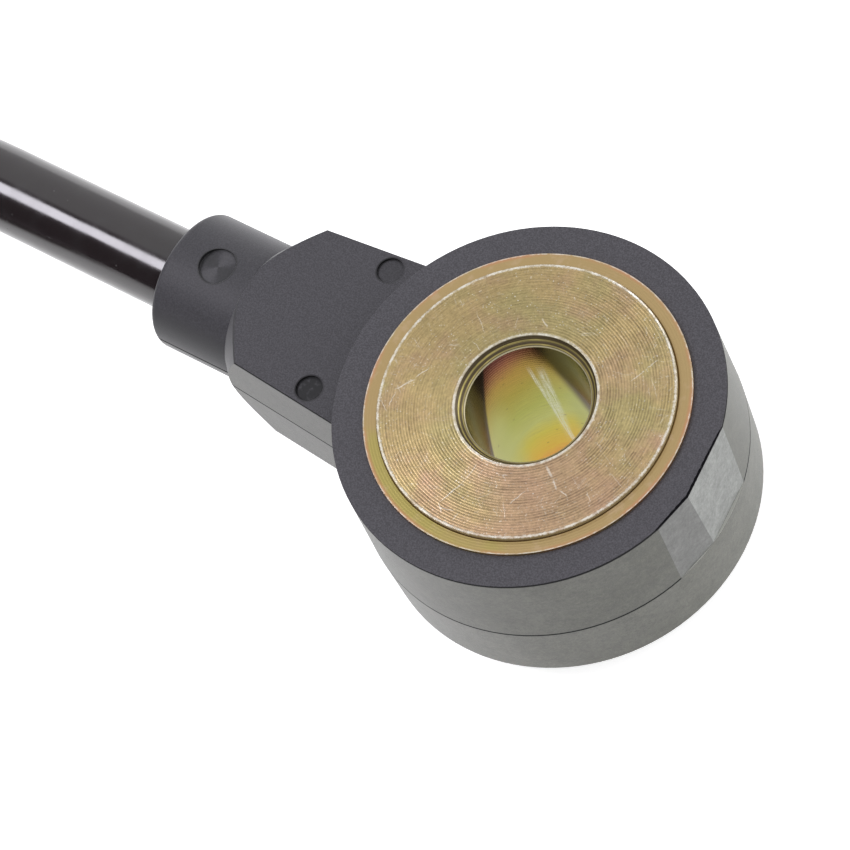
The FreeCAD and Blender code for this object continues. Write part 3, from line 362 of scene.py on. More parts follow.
@dataclass(frozen=True)
class MouldedNylon:
    """Black glass-filled nylon: charcoal faces with painted shade in places, and sides greyed by mould release and
    handling and by a painted reflection of the white floor.

    A span holds where a mask starts and where it is full. A seam holds a line's half breadth and soft edge.
    """

    face: Colour = (0.047, 0.044, 0.053)
    face_light: Colour = (0.062, 0.059, 0.069)
    # Colour of the painted shade on the faces, and of the darker neck and collar.
    face_shade_and_dark: Colour = (0.008, 0.008, 0.011)
    side: Colour = (0.063, 0.0635, 0.047)
    side_stain: Colour = (0.125, 0.124, 0.106)
    side_grain: Colour = (0.16, 0.16, 0.14)
    side_streak: Colour = (0.055, 0.056, 0.048)
    side_neck: Colour = (0.05, 0.05, 0.045)
    # Colour of the dark lines and marks, also of the painted shade along the top edges.
    line: Colour = (0.014, 0.014, 0.015)
    # The ledge under the flats is painted pale, a painted light over the shade it lies in.
    ledge: Colour = (0.40, 0.40, 0.37)
    # Light lobes of the painted reflection in the collar's mark.
    lobe_sheen: Colour = (0.085, 0.082, 0.09)
    flats: tuple[tuple[float, Colour], ...] = ((187.2, (0.205, 0.211, 0.200)), (170.3, (0.120, 0.121, 0.115)))
    flats_middle: float = -0.007
    flats_span: Span = (0.305, 0.29)
    rear_span: Span = (-6.0, -8.0)
    ledge_span: Span = (12.4, 12.6)
    neck_span: Span = (13.9, 14.1)
    collar_span: Span = (23.4, 24.0)
    upright_span: Span = (0.8, 0.3)
    cone_span: Span = (0.12, 0.38)
    neck_rise: float = 5.0
    plane_seam: Span = (0.05, 0.08)
    parting_seam: Span = (0.05, 0.07)
    rim_seam: Span = (0.12, 0.06)
    neck_seam: Span = (0.12, 0.08)
    edge_round: float = 0.09
    bump_depth: float = 0.012
    marks: tuple[tuple[float, ...], ...] = ((15.3, 5.0, 0.95, 0.85), (15.3, -5.0, 0.95, 0.25))
    collar_mark: Triple = (26.7, 0.0, 1.35)
    collar_mark_span: Span = (3.9, 4.3)
    grain: Cloud = Cloud(9.0, 3.0, 0.7)
    mottle: Cloud = Cloud(1.1, 5.0, 0.68)
    stain: Cloud = Cloud(0.2, 3.0)
    streaks: Cloud = Cloud(1.0, 4.0, 0.75)
    speckle: Cloud = Cloud(3.4, 3.0, 0.8)
    smudge: Cloud = Cloud(2.6, 3.0)
    fine: Cloud = Cloud(14.0, 2.0, 0.6)

    def material(self, name: str = "moulded_nylon") -> bpy.types.Material:
        """The material of the housing."""
        g = Graph(name)
        spot = Spot(g)
        masks = self._masks(g, spot)
        grain = g.cloud(spot.place, self.grain)
        # The upright walls are greyed, partly by the bloom of mould release and partly as a painted reflection of the
        # white floor, less so on the collar and the end cone.
        cone = g.rise(spot.normal_x, *self.cone_span) * masks.neck
        less_grey = g.most(masks.collar * (0.5 + 0.44 * masks.above), cone * 0.85)
        bloom_and_floor_reflection = masks.upright * (1.0 - less_grey)
        colour = g.mix(bloom_and_floor_reflection, self._face_colour(g, spot, masks, grain), self._side_colour(g, spot, masks, grain))
        lines = self._lines(g, spot, masks)
        colour = g.mix(lines * 0.85, colour, self.line)
        colour, dark_marks = self._neck_marks(g, spot, colour)
        colour = self._collar_mark(g, spot, colour)
        # The lines and the marks have no gloss, so they stay dark under a white sky.
        seam = g.band(spot.z, LEVELS.arm, *self.plane_seam) * masks.collar
        black = g.capped(lines * 0.9 + seam * 0.6 + dark_marks)
        height = g.cloud(spot.place, self.fine) * 0.5 + grain * 0.5 - lines * 0.5
        return g.surface((black, self.line), Base_Color=colour, Roughness=0.50 + 0.12 * grain - 0.05 * bloom_and_floor_reflection,
                         Normal=g.bump(height, self.bump_depth, self.edge_round),
                         Specular_IOR_Level=0.5, Sheen_Weight=0.3, Sheen_Roughness=0.35)

    def _masks(self, g: Graph, spot: Spot) -> HousingMasks:
        """The masks. The ledge under the two flats counts as upright."""
        up = abs(spot.normal_z)
        rear = g.rise(spot.x, *self.rear_span)
        ledge = g.band(spot.z, LEVELS.arm, *self.plane_seam) * g.rise(spot.reach, *self.ledge_span)
        ledge = ledge * rear * g.rise(up, 0.3, 0.7)
        return HousingMasks(
            rear=rear,
            ledge=ledge,
            upright=g.most(g.rise(up, *self.upright_span), ledge),
            above=g.rise(spot.z, LEVELS.arm, LEVELS.arm + 0.06),
            neck=g.rise(spot.reach, *self.neck_span),
            collar=g.rise(spot.x, *self.collar_span))

    def _side_colour(self, g: Graph, spot: Spot, masks: HousingMasks, grain: Value) -> Socket:
        """The greyed sides: mottled, streaked along the mould, lighter on the two flats, and the ledge under the flats
        painted light.
        """
        mottle = g.cloud(spot.place, self.mottle)
        streaks = g.cloud(g.join(spot.x * 0.8, spot.y * 0.8, spot.z * 4.0), self.streaks, (0.45, 0.65))
        side = g.mix(g.rise(mottle, 0.34, 0.66), dimmed(self.side, 0.86), self.side)
        side = g.coat(
            side,
            (g.cloud(spot.place, self.stain, (0.42, 0.66)), 0.3, self.side_stain),
            (g.rise(grain, 0.35, 0.65), 0.34, self.side_grain),
            (streaks, 0.3, self.side_streak),
            (masks.neck, 0.45, self.side_neck),
            (masks.above, 0.30, dimmed(self.side, 0.5)))
        for heading, tone in self.flats:
            on_flat = self._facing(g, spot, heading) * masks.above * masks.rear
            side = g.mix(on_flat, side, g.mix(g.rise(mottle, 0.3, 0.7), dimmed(tone, 0.86), tone))
        speckle = g.cloud(spot.place, self.speckle)
        side = g.shade(side, 1.0 + 1.3 * (speckle - 0.5) + 0.7 * (mottle - 0.5))
        # Painted light: the thin ledge under the flats gets a pale colour that lifts the shade it lies in.
        return g.mix(masks.ledge, side, self.ledge)

    def _face_colour(self, g: Graph, spot: Spot, masks: HousingMasks, grain: Value) -> Socket:
        """The charcoal faces: painted shade on the neck next to the ring and on the collar's lower side, and a little
        darker on the neck and the collar all over.
        """
        face = g.mix(g.rise(grain, 0.36, 0.66), dimmed(self.face, 0.62), self.face_light)
        # Painted shade: a soft dark band where the neck's top meets the ring, and the collar's lower side.
        ring_fillet_shade = g.rise(spot.reach, 14.9, 13.7) * g.rise(spot.reach, 13.35, 13.5)
        collar_low_shade = masks.collar * g.rise(spot.normal_z, 0.85, 0.4)
        shade_and_dark = g.most(g.most(ring_fillet_shade * 0.4, masks.neck * 0.16), g.most(masks.collar * 0.4, collar_low_shade * 0.85))
        return g.mix(shade_and_dark, face, self.face_shade_and_dark)

    def _lines(self, g: Graph, spot: Spot, masks: HousingMasks) -> Value:
        """Dark lines: the parting line but for the flats, and along the top edges a slight burr with painted shade."""
        rear_angle = g.turn(spot.y, spot.x * -1.0)
        on_flats = g.rise(abs(rear_angle - self.flats_middle), *self.flats_span)
        parting = g.band(spot.z, LEVELS.arm, *self.parting_seam) * g.rise(abs(spot.normal_z), 0.6, 0.3)
        rim = g.band(spot.z, LEVELS.rim - 0.06, *self.rim_seam) * (1.0 - masks.neck)
        neck = g.band(spot.z, LEVELS.arm + self.neck_rise - 0.16, *self.neck_seam) * masks.neck
        return g.capped(parting * (1.0 - on_flats) + (rim + neck) * masks.upright)

    @staticmethod
    def _facing(g: Graph, spot: Spot, heading: float) -> Value:
        """One where the surface looks in a level direction, in degrees, to within about two of them."""
        turned = math.radians(heading)
        return g.rise(spot.normal_x * math.cos(turned) + spot.normal_y * math.sin(turned), 0.9988, 0.9993)

    def _neck_marks(self, g: Graph, spot: Spot, colour: Socket) -> tuple[Socket, Value]:
        """The neck's round ejector marks: a smudged floor, and an edge that is darkest on its shaded side.

        Returns:
            The colour with the marks, and where they are dark.
        """
        neck_top = LEVELS.arm + self.neck_rise
        on_neck = g.rise(spot.z, neck_top - 0.6, neck_top - 0.3)
        smudge = g.cloud(spot.place, self.smudge, (0.2, 0.5))
        dark = on_neck * 0.0
        for x, y, radius, strength in self.marks:
            dx = spot.x - x
            dy = spot.y - y
            reach = g.reach(dx, dy)
            floor = g.rise(reach, radius + 0.05, radius - 0.1) * smudge * strength
            shaded = 0.35 + 0.65 * g.rise(dx - dy * 0.4, -0.4, 0.7)
            edge = g.band(reach, radius, 0.05, 0.09) * shaded
            colour = g.coat(colour, (floor, on_neck, self.line), (edge * on_neck, 0.7, self.line))
            dark = dark + on_neck * (floor + edge) * 0.5
        return colour, dark

    def _collar_mark(self, g: Graph, spot: Spot, colour: Socket) -> Socket:
        """The collar's mark: a dark edge, and a floor with the painted reflection of a turned face, dark and light in
        four lobes by the cosine of twice the angle.
        """
        x, y, radius = self.collar_mark
        dx = spot.x - x
        dy = spot.y - y
        reach = g.reach(dx, dy)
        low, high = self.collar_mark_span
        on_top = g.rise(spot.z, LEVELS.arm + low, LEVELS.arm + high)
        sheen_lobes = g.math("COSINE", g.turn(dy, dx) * 2.0 + 0.6)
        floor = g.rise(reach, radius + 0.05, radius - 0.1) * on_top
        return g.coat(
            colour,
            (floor * g.rise(sheen_lobes, -0.6, 0.9), 0.6, self.line),
            (floor * g.rise(sheen_lobes, 0.2, -0.9), 0.35, self.lobe_sheen),
            (g.band(reach, radius, 0.05, 0.1) * on_top, 0.7, self.line))


# Scratches on the contact disc: x and y of both ends, breadth and brightness.
SCRATCHES = (
    (7.70, 2.04, 7.17, 0.84, 1.0, 1.0),
    (8.50, 3.44, 7.56, 1.94, 1.0, 1.0),
    (8.10, 4.70, 8.29, 3.30, 0.8, 0.8),
    (8.22, 2.95, 7.63, 2.35, 0.6, 0.7),
    (8.98, 4.26, 7.88, 4.96, 0.7, 0.6),
    (1.05, 9.04, 0.36, 6.77, 1.0, 0.9),
    (0.36, 6.77, 0.32, 5.32, 0.8, 0.7),
    (1.10, 9.27, -0.31, 8.97, 0.8, 0.8),
    (1.13, 8.93, 0.44, 9.48, 0.9, 0.9),
    (-3.82, 3.47, -4.82, 4.03, 1.9, 0.8),
    (-4.82, 4.03, -5.56, 4.67, 1.6, 0.8),
    (-5.67, 4.57, -6.44, 4.69, 0.9, 0.9),
    (-3.75, 5.43, -3.23, 7.04, 0.8, 0.7),
    (-2.71, 6.86, -3.66, 7.99, 0.7, 0.6),
    (-7.28, 3.81, -8.04, 4.43, 0.8, 0.7),
    (-5.57, -4.12, -6.03, -5.41, 0.9, 0.8),
    (-6.03, -5.41, -6.42, -6.48, 0.8, 0.8),
    (2.41, -5.64, 1.55, -5.14, 1.4, 0.7),
    (6.85, -4.18, 5.12, -2.82, 0.6, 0.5),
    (3.49, -4.03, 3.94, -5.02, 0.6, 0.5),
    (5.75, -2.10, 4.75, -1.71, 0.7, 0.6),
    (-6.55, -5.21, -7.99, -3.88, 0.6, 0.5),
    (-7.78, 1.91, -9.61, 2.61, 0.6, 0.5),
    (-5.74, 3.32, -7.01, 3.90, 0.5, 0.4),
    (-1.05, 7.68, -1.85, 6.48, 0.6, 0.5),
    (5.31, 5.13, 3.67, 5.15, 0.5, 0.4),
    (-2.87, -6.92, -4.24, -6.34, 0.5, 0.4),
)

# Interference colours down the bore's wall: share of the way, and colour.
BORE_FILM = (
    (0.0, (0.42, 0.13, 0.13)),
    (0.09, (0.56, 0.22, 0.11)),
    (0.19, (0.57, 0.36, 0.075)),
    (0.33, (0.50, 0.41, 0.075)),
    (0.50, (0.52, 0.53, 0.13)),
    (0.62, (0.60, 0.61, 0.20)),
    (0.74, (0.70, 0.60, 0.10)),
    (0.90, (0.80, 0.53, 0.085)),
    (1.0, (0.82, 0.34, 0.11)),
)

# Turned steps down the mouth: share of its depth, and colour. The brown bands are painted shade on its steeper walls.
MOUTH_SHADE_BROWN = (0.075, 0.053, 0.024)
MOUTH_GILT = (0.52, 0.43, 0.14)
MOUTH_FILM = (
    (0.0, (0.34, 0.29, 0.18)),
    (0.09, MOUTH_SHADE_BROWN),
    (0.38, MOUTH_SHADE_BROWN),
    (0.46, MOUTH_GILT),
    (0.53, MOUTH_GILT),
    (0.60, MOUTH_SHADE_BROWN),
    (0.74, MOUTH_SHADE_BROWN),
    (0.81, MOUTH_GILT),
    (0.88, MOUTH_SHADE_BROWN),
    (1.0, MOUTH_SHADE_BROWN),
)


@dataclass(frozen=True)
class PassivatedSteel:
    """Turned steel, zinc plated and yellow passivated: gold and olive films, tool rings, burrs and scratches, with
    painted shade and reflections.

    Angles run round the bolt's axis from +X, in radians.
    """

    gold: Colour = (0.475, 0.36, 0.175)
    olive: Colour = (0.425, 0.35, 0.165)
    rose: Colour = (0.46, 0.295, 0.20)
    tan: Colour = (0.435, 0.315, 0.15)
    lime: Colour = (0.41, 0.35, 0.11)
    blush: Colour = (0.60, 0.44, 0.30)
    copper: Colour = (0.54, 0.27, 0.15)
    wall: Colour = (0.34, 0.26, 0.13)
    bare: Colour = (0.86, 0.83, 0.74)
    shade_brown: Colour = (0.10, 0.065, 0.03)
    mouth_dull: Colour = (0.07, 0.05, 0.022)
    # Colour of the painted highlight on the edge where the mouth meets the bore.
    lip: Colour = (0.62, 0.56, 0.36)
    bore_left: Colour = (0.60, 0.62, 0.22)
    bore_right: Colour = (0.50, 0.54, 0.17)
    bore_dark_reflection: Colour = (0.050, 0.035, 0.016)
    # Colour of the painted reflections that streak down the bore.
    bore_glint: Colour = (0.92, 0.94, 0.84)
    dot: Colour = (0.2, 0.12, 0.03)
    bore_radius: float = 4.25
    mouth_radius: float = 4.79
    mouth_depth: float = 0.68
    disc_radius: float = 10.1
    pitch: float = 0.195
    scratch_breadth: float = 0.035
    bump_depth: float = 0.012
    lime_heading: float = 1.35
    shade_heading: float = -1.0
    rose_heading: float = 2.3
    faint_heading: float = -0.55
    hair_headings: Triple = (0.4, 1.5, 2.5)
    far_wall: float = math.radians(320.0)
    film_depth: float = 16.0

    def material(self, name: str = "passivated_steel") -> bpy.types.Material:
        """The material of the sleeve."""
        g = Graph(name)
        spot = Spot(g)
        top = LEVELS.contact - self.mouth_depth
        facing = g.rise(spot.normal_z, 0.6, 0.9)
        outer = g.rise(spot.reach, self.disc_radius + 0.02, self.disc_radius + 0.1)
        mouth = g.rise(spot.reach, self.mouth_radius, self.mouth_radius - 0.02)
        in_bore = g.rise(spot.z, top + 0.02, top - 0.02)
        in_bore = in_bore * g.rise(spot.reach, self.bore_radius + 0.3, self.bore_radius + 0.1)
        crest, tone = self._rings(g, spot)
        scratches = self._scratches(g, spot)
        worn = g.capped(scratches + self._specks(g, spot)) * facing * (1.0 - outer)
        # The turned groove at the disc's foot gets painted shade, and the edges have bare burrs.
        groove_shade = g.band(spot.reach, self.disc_radius + 0.04, 0.03, 0.05) * facing
        wall = g.band(spot.reach, self.disc_radius, 0.02, 0.03) * g.rise(spot.normal_z, 0.5, 0.3)
        burr = self._burrs(g, spot)
        colour = g.coat(
            g.shade(self._films(g, spot), tone),
            (outer, 1.0, self._ledge_colour(g, spot)),
            (worn, 0.55, self.bare),
            (groove_shade, 0.7, self.shade_brown),
            (wall, 1.0, self.wall),
            (burr, 0.9, self.bare),
            (mouth, 1.0, self._mouth_colour(g, spot)),
            (in_bore, 1.0, self._bore_colour(g, spot)),
            # Painted highlight: a light band on the edge where the mouth meets the bore.
            (g.band(spot.z, top + 0.01, 0.03, 0.04) * mouth, 0.6, self.lip))
        fine = g.cloud(spot.place, Cloud(6.0, 3.0, 0.6))
        roughness = 0.34 + 0.14 * fine - 0.1 * burr
        bore_rings = g.math("SINE", spot.z * 24.0) * 0.5 + 0.5
        height = (crest * 0.5 + fine * 0.3 + scratches * 0.5) * (1.0 - in_bore) + in_bore * bore_rings * 0.06
        return g.surface(Base_Color=colour, Normal=g.bump(height, self.bump_depth),
                         Metallic=1.0 - g.most(wall * 0.8, mouth * (1.0 - in_bore) * 0.55),
                         Roughness=roughness * (1.0 - in_bore) + in_bore * 0.17)

    def _films(self, g: Graph, spot: Spot) -> Socket:
        """Patches of gold, olive and rose film, and sectors painted lighter and darker as the reflection of the turned
        rings.
        """
        patch = g.cloud(spot.place, Cloud(0.22, 3.0, 0.5), (0.42, 0.62))
        rosy = g.cloud(g.join(spot.x + 31.0, spot.y, spot.z), Cloud(0.32, 4.0, 0.6))
        colour = g.coat(g.mix(patch, self.gold, self.olive), (g.rise(rosy, 0.46, 0.7), 0.45, self.rose))
        round_x = g.math("COSINE", spot.angle) * 3.0
        round_y = g.math("SINE", spot.angle) * 3.0
        sector_sheen = 0.96 + 0.12 * g.cloud(g.join(round_x, round_y, 2.0), Cloud(1.0, 3.0, 0.6), (0.3, 0.7))
        # One side of the disc is painted a little darker, a painted shade, and the side towards the rose heading has
        # more rose.
        dull = g.rise(self._toward(g, spot, self.shade_heading), -0.2, 0.9)
        near = g.rise(self._toward(g, spot, self.rose_heading) + 1.5 * (rosy - 0.5), 0.35, 1.0)
        return g.coat(g.shade(colour, sector_sheen * (1.0 - 0.2 * dull)), (near, 0.7, self.rose))

    @staticmethod
    def _toward(g: Graph, spot: Spot, heading: float) -> Value:
        """Cosine of the angle between the point and a heading."""
        return g.math("COSINE", spot.angle - heading)

    def _rings(self, g: Graph, spot: Spot) -> tuple[Value, Value]:
        """Crests of the facing cut, and its tone: a sine of the radius, broken up by noise along the circle, with
        painted shade between the crests.
        """
        grit = g.cloud(spot.place, Cloud(4.5, 3.0, 0.8))
        crest = g.math("COSINE", spot.reach * (2.0 * math.pi / self.pitch) - spot.angle) * 0.5 + 0.5
        share = g.cloud(g.join(spot.reach * 1.1, spot.angle * 2.2, 0.0), Cloud(1.0, 3.0, 0.6), (0.36, 0.66))
        along = g.cloud(g.join(spot.reach * 8.0, spot.angle * 5.0, 0.0), Cloud(1.0, 3.0, 0.65))
        # The rings and their painted shade fade towards one side.
        clear = 0.3 + 0.7 * g.rise(self._toward(g, spot, self.faint_heading), 0.75, 0.0)
        strength = (0.12 + 0.27 * share) * clear
        tone = 1.1 - strength * (1.0 - crest * crest) + 0.8 * (along - 0.5) + (grit - 0.5)
        return crest * clear, tone

    def _ledge_colour(self, g: Graph, spot: Spot) -> Socket:
        """The smoother ledge round the disc: tan, lime on one side, with copper along its rim."""
        warp = g.cloud(spot.place, Cloud(0.3, 2.0))
        lime = g.rise(self._toward(g, spot, self.lime_heading) + (warp - 0.5) * 0.9, 0.55, 1.0)
        rim = g.rise(spot.reach, LEVELS.flange - 0.34, LEVELS.flange - 0.08) * g.rise(warp, 0.3, 0.6)
        return g.coat(
            self.tan,
            (lime, 0.85, self.lime),
            (g.cloud(spot.place, Cloud(0.9, 3.0), (0.55, 0.7)), 0.3, self.blush),
            (rim, 0.75, self.copper))

    def _burrs(self, g: Graph, spot: Spot) -> Value:
        """Bare burrs along the disc's rim, the mouth and the flange: bands shaken and broken up by noise."""
        shake = g.cloud(g.join(spot.x * 5.0, spot.y * 5.0, 0.0), Cloud(1.0, 4.0, 0.8))
        shaken = (shake - 0.5) * 0.30
        broken = g.cloud(g.join(spot.x * 1.6, spot.y * 1.6, 5.0), Cloud(1.0, 4.0, 0.75), (0.36, 0.62))
        disc = g.band(spot.reach + shaken * 1.3, self.disc_radius - 0.08, 0.04, 0.09) * (0.25 + 0.75 * broken)
        mouth = g.band(spot.reach + shaken, self.mouth_radius + 0.06, 0.05, 0.10) * (0.3 + 0.65 * broken)
        high = g.rise(spot.z, LEVELS.contact - 0.16, LEVELS.contact - 0.06)
        flange = g.band(spot.reach + shaken * 0.5, LEVELS.flange - 0.03, 0.02, 0.05) * (0.1 + 0.6 * broken)
        return g.capped((disc + mouth) * high + flange * g.rise(spot.normal_z, 0.3, 0.6))

    def _mouth_colour(self, g: Graph, spot: Spot) -> Socket:
        """Brown and gilt steps down the mouth, the brown as painted shade, duller in places."""
        steps = g.ramp((LEVELS.contact - spot.z) / self.mouth_depth, MOUTH_FILM)
        dull = g.cloud(g.join(spot.x * 0.5, spot.y * 0.5, spot.z * 3.0), Cloud(1.0, 3.0, 0.6), (0.4, 0.6))
        return g.coat(steps, (dull, 0.5, self.mouth_dull))

    def _bore_colour(self, g: Graph, spot: Spot) -> Socket:
        """Interference colours of the film in the bore, by depth and by the angle round the wall.

        Bands run red, orange, olive, green, yellow and orange down the wall, and lean round it.
        Beyond two lines that lean away from each other down the wall, it is painted dark brown as the dark reflection
        that the wall shows there.
        """
        depth = LEVELS.contact - spot.z
        # The angle is counted from the middle of the far wall.
        cosine, sine = math.cos(self.far_wall), math.sin(self.far_wall)
        turn = g.turn(spot.y * cosine - spot.x * sine, spot.x * cosine + spot.y * sine)
        warp = g.cloud(g.join(spot.x * 0.35, spot.y * 0.35, spot.z * 0.25), Cloud(1.0, 3.0))
        film = g.ramp(depth / self.film_depth - 0.06 * turn + 0.14 * (warp - 0.5), BORE_FILM)
        rings = g.cloud(g.join(turn * 2.5, depth * 9.0, 0.0), Cloud(1.0, 3.0, 0.7))
        # Painted reflection: dark zones on both sides of the far wall.
        left = g.rise(turn - 0.0789 * (depth - 2.46), 0.60, 0.67)
        right = g.rise(turn + 0.058 * (depth - 0.84), -0.24, -0.47)
        return g.coat(
            g.shade(film, 0.82 + 0.36 * rings),
            (g.rise(turn, 0.35, 0.75) * g.rise(depth, 4.0, 8.0), 0.7, self.bore_left),
            (g.rise(turn, -0.4, -0.65) * g.rise(depth, 5.0, 9.0), 0.7, self.bore_right),
            (self._glint_streaks(g, turn, depth), 0.65, self.bore_glint),
            (g.dots(spot.place, 0.9, (0.12, 0.06)), 0.25, self.dot),
            (g.capped(left + right), 0.94, self.bore_dark_reflection))

    @staticmethod
    def _glint_streaks(g: Graph, turn: Value, depth: Value) -> Value:
        """Bright streaks down the wall, painted reflections that fade in from the mouth: a fine one, and a broad one
        with a brushed texture beside it.
        """
        brush = g.cloud(g.join(turn * 70.0, depth * 0.35, 0.0), Cloud(1.0, 3.0, 0.7), (0.3, 0.62))
        cross = g.cloud(g.join(turn * 9.0, depth * 5.0, 0.0), Cloud(1.0, 2.0, 0.6), (0.3, 0.6))
        first = g.band(turn + (depth - 3.2) * 0.0157, math.radians(-8.1), 0.018, 0.03) * g.rise(depth, 2.8, 4.5)
        second = g.band(turn - (depth - 3.8) * 0.0043, math.radians(-18.1), 0.02, 0.09) * g.rise(depth, 3.0, 5.0)
        return g.capped(first + second * g.rise(depth, 15.0, 8.0)) * brush * (0.6 + 0.4 * cross)

    def _scratches(self, g: Graph, spot: Spot) -> Value:
        """The scratches: narrow bands along their lines, thin at both ends and shaken a little by noise."""
        shake = (g.cloud(g.join(spot.x, spot.y, 0.0), Cloud(1.6, 3.0, 0.6)) - 0.5) * 0.34
        total: Number = 0.0
        for first_x, first_y, last_x, last_y, breadth, brightness in SCRATCHES:
            length = math.hypot(last_x - first_x, last_y - first_y)
            ahead_x, ahead_y = (last_x - first_x) / length, (last_y - first_y) / length
            dx = spot.x - first_x
            dy = spot.y - first_y
            along = dx * ahead_x + dy * ahead_y
            across = dy * ahead_x - dx * ahead_y + shake
            ends = g.rise(along, 0.0, 0.3 * length) * g.rise(along, length, 0.75 * length)
            half = self.scratch_breadth * breadth
            total = total + g.band(across, 0.0, half * 0.5, half) * ends * brightness
        return g.capped(total)

    def _specks(self, g: Graph, spot: Spot) -> Value:
        """Fine bright specks and hair scratches over the whole disc, more of them in some patches."""
        gate = g.cloud(spot.place, Cloud(0.45, 2.0), (0.44, 0.62))
        total = g.dots(spot.place, 2.4, (0.16, 0.08)) * gate * 0.9
        total = total + g.dots(spot.place, 3.7, (0.2, 0.12)) * (0.3 + 0.5 * gate)
        for index, heading in enumerate(self.hair_headings):
            cosine, sine = math.cos(heading), math.sin(heading)
            along = spot.x * cosine + spot.y * sine
            across = spot.y * cosine - spot.x * sine
            hairs = g.cloud(g.join(across * 2.6, along * 0.35, 7.0 * index), Cloud(1.0, 2.0, 0.5, 0.5))
            few = g.cloud(g.join(across * 0.7, along * 0.5, 3.0 * index + 40.0), Cloud(1.0, 2.0), (0.56, 0.64))
            total = total + g.band(hairs, 0.5, 0.003, 0.006) * few * 0.45
        return g.capped(total)


@dataclass(frozen=True)
class CableJacket:
    """Glossy black jacket with a few dull specks, a little wavy."""

    black: Colour = (0.0115, 0.0075, 0.0085)
    haze: Colour = (0.018, 0.016, 0.017)
    dust: Colour = (0.07, 0.07, 0.07)
    gloss: float = 0.15
    gloss_index: float = 1.68
    wave_depth: float = 0.04

    def material(self, name: str = "cable_jacket") -> bpy.types.Material:
        """The material of the lead."""
        g = Graph(name)
        place = Spot(g).place
        haze = g.cloud(place, Cloud(0.5, 4.0, 0.6))
        dust = g.dots(place, 0.9, (0.09, 0.05))
        colour = g.coat(self.black, (g.rise(haze, 0.5, 0.75), 0.5, self.haze), (dust, 0.3, self.dust))
        return g.surface(Base_Color=colour, Roughness=self.gloss + 0.05 * g.rise(haze, 0.4, 0.7) + 0.15 * dust,
                         Normal=g.bump(g.cloud(place, Cloud(0.25, 2.0, 0.4)), self.wave_depth),
                         IOR=self.gloss_index)


@dataclass(frozen=True)
class PlainPlastic:
    """A moulded plastic or rubber with fine grain and worn patches."""

    name: str
    base: Colour
    worn: Colour
    roughness: float = 0.5
    grain: float = 6.0
    depth: float = 0.012
    edge_round: float = 0.12

    def material(self) -> bpy.types.Material:
        """The material."""
        g = Graph(self.name)
        place = Spot(g).place
        grain = g.cloud(place, Cloud(self.grain, 3.0, 0.6))
        wear = g.cloud(place, Cloud(0.35, 4.0, 0.6))
        colour = g.coat(
            self.base,
            (g.rise(wear, 0.42, 0.7), 0.6, self.worn),
            (g.rise(grain, 0.4, 0.7), 0.25, self.worn))
        return g.surface(Base_Color=colour, Roughness=self.roughness + 0.12 * (wear - 0.5),
                         Normal=g.bump(grain, self.depth, self.edge_round), Specular_IOR_Level=0.5)


@dataclass(frozen=True)
class WorkedMetal:
    """A turned, stamped or plated metal, with marks that run round the axis or along the sheet."""

    name: str
    base: Colour
    tarnish: Colour
    roughness: float = 0.34
    rings: bool = True
    depth: float = 0.01
    edge_round: float = 0.06

    def material(self) -> bpy.types.Material:
        """The material."""
        g = Graph(self.name)
        spot = Spot(g)
        if self.rings:
            lines = g.join(spot.reach * 7.0, spot.angle, spot.z * 5.0)
        else:
            lines = g.join(spot.x * 0.8, spot.y * 9.0, spot.z * 9.0)
        marks = g.cloud(lines, Cloud(1.0, 3.0, 0.6))
        colour = g.coat(
            self.base,
            (g.cloud(spot.place, Cloud(0.4, 4.0, 0.6), (0.42, 0.7)), 0.7, self.tarnish),
            (g.rise(marks, 0.5, 0.8), 0.3, self.tarnish))
        return g.surface(Base_Color=colour, Metallic=1.0, Roughness=self.roughness + 0.2 * (marks - 0.5),
                         Normal=g.bump(marks, self.depth, self.edge_round))


@dataclass(frozen=True)
class WovenBraid:
    """Tinned wires braided in two directions: crossed sine waves along the slanted helices, with painted shade in the
    weave's hollows.
    """

    bright: Colour = (0.66, 0.63, 0.58)
    dark: Colour = (0.2, 0.18, 0.16)
    along: float = 9.0
    around: float = 8.0
    depth: float = 0.06

    def material(self, name: str = "tinned_braid") -> bpy.types.Material:
        """The material of the shield braid."""
        g = Graph(name)
        spot = Spot(g)
        across = g.turn(spot.z - LEVELS.arm, spot.y) * self.around
        along = spot.x * self.along
        weave = g.most(g.math("SINE", along + across), g.math("SINE", along - across)) * 0.5 + 0.5
        # Painted shade: the weave's hollows are dark, its crests bright.
        colour = g.mix(g.rise(weave, 0.3, 0.9), self.dark, self.bright)
        return g.surface(Base_Color=colour, Metallic=1.0, Roughness=0.35, Normal=g.bump(weave, self.depth))


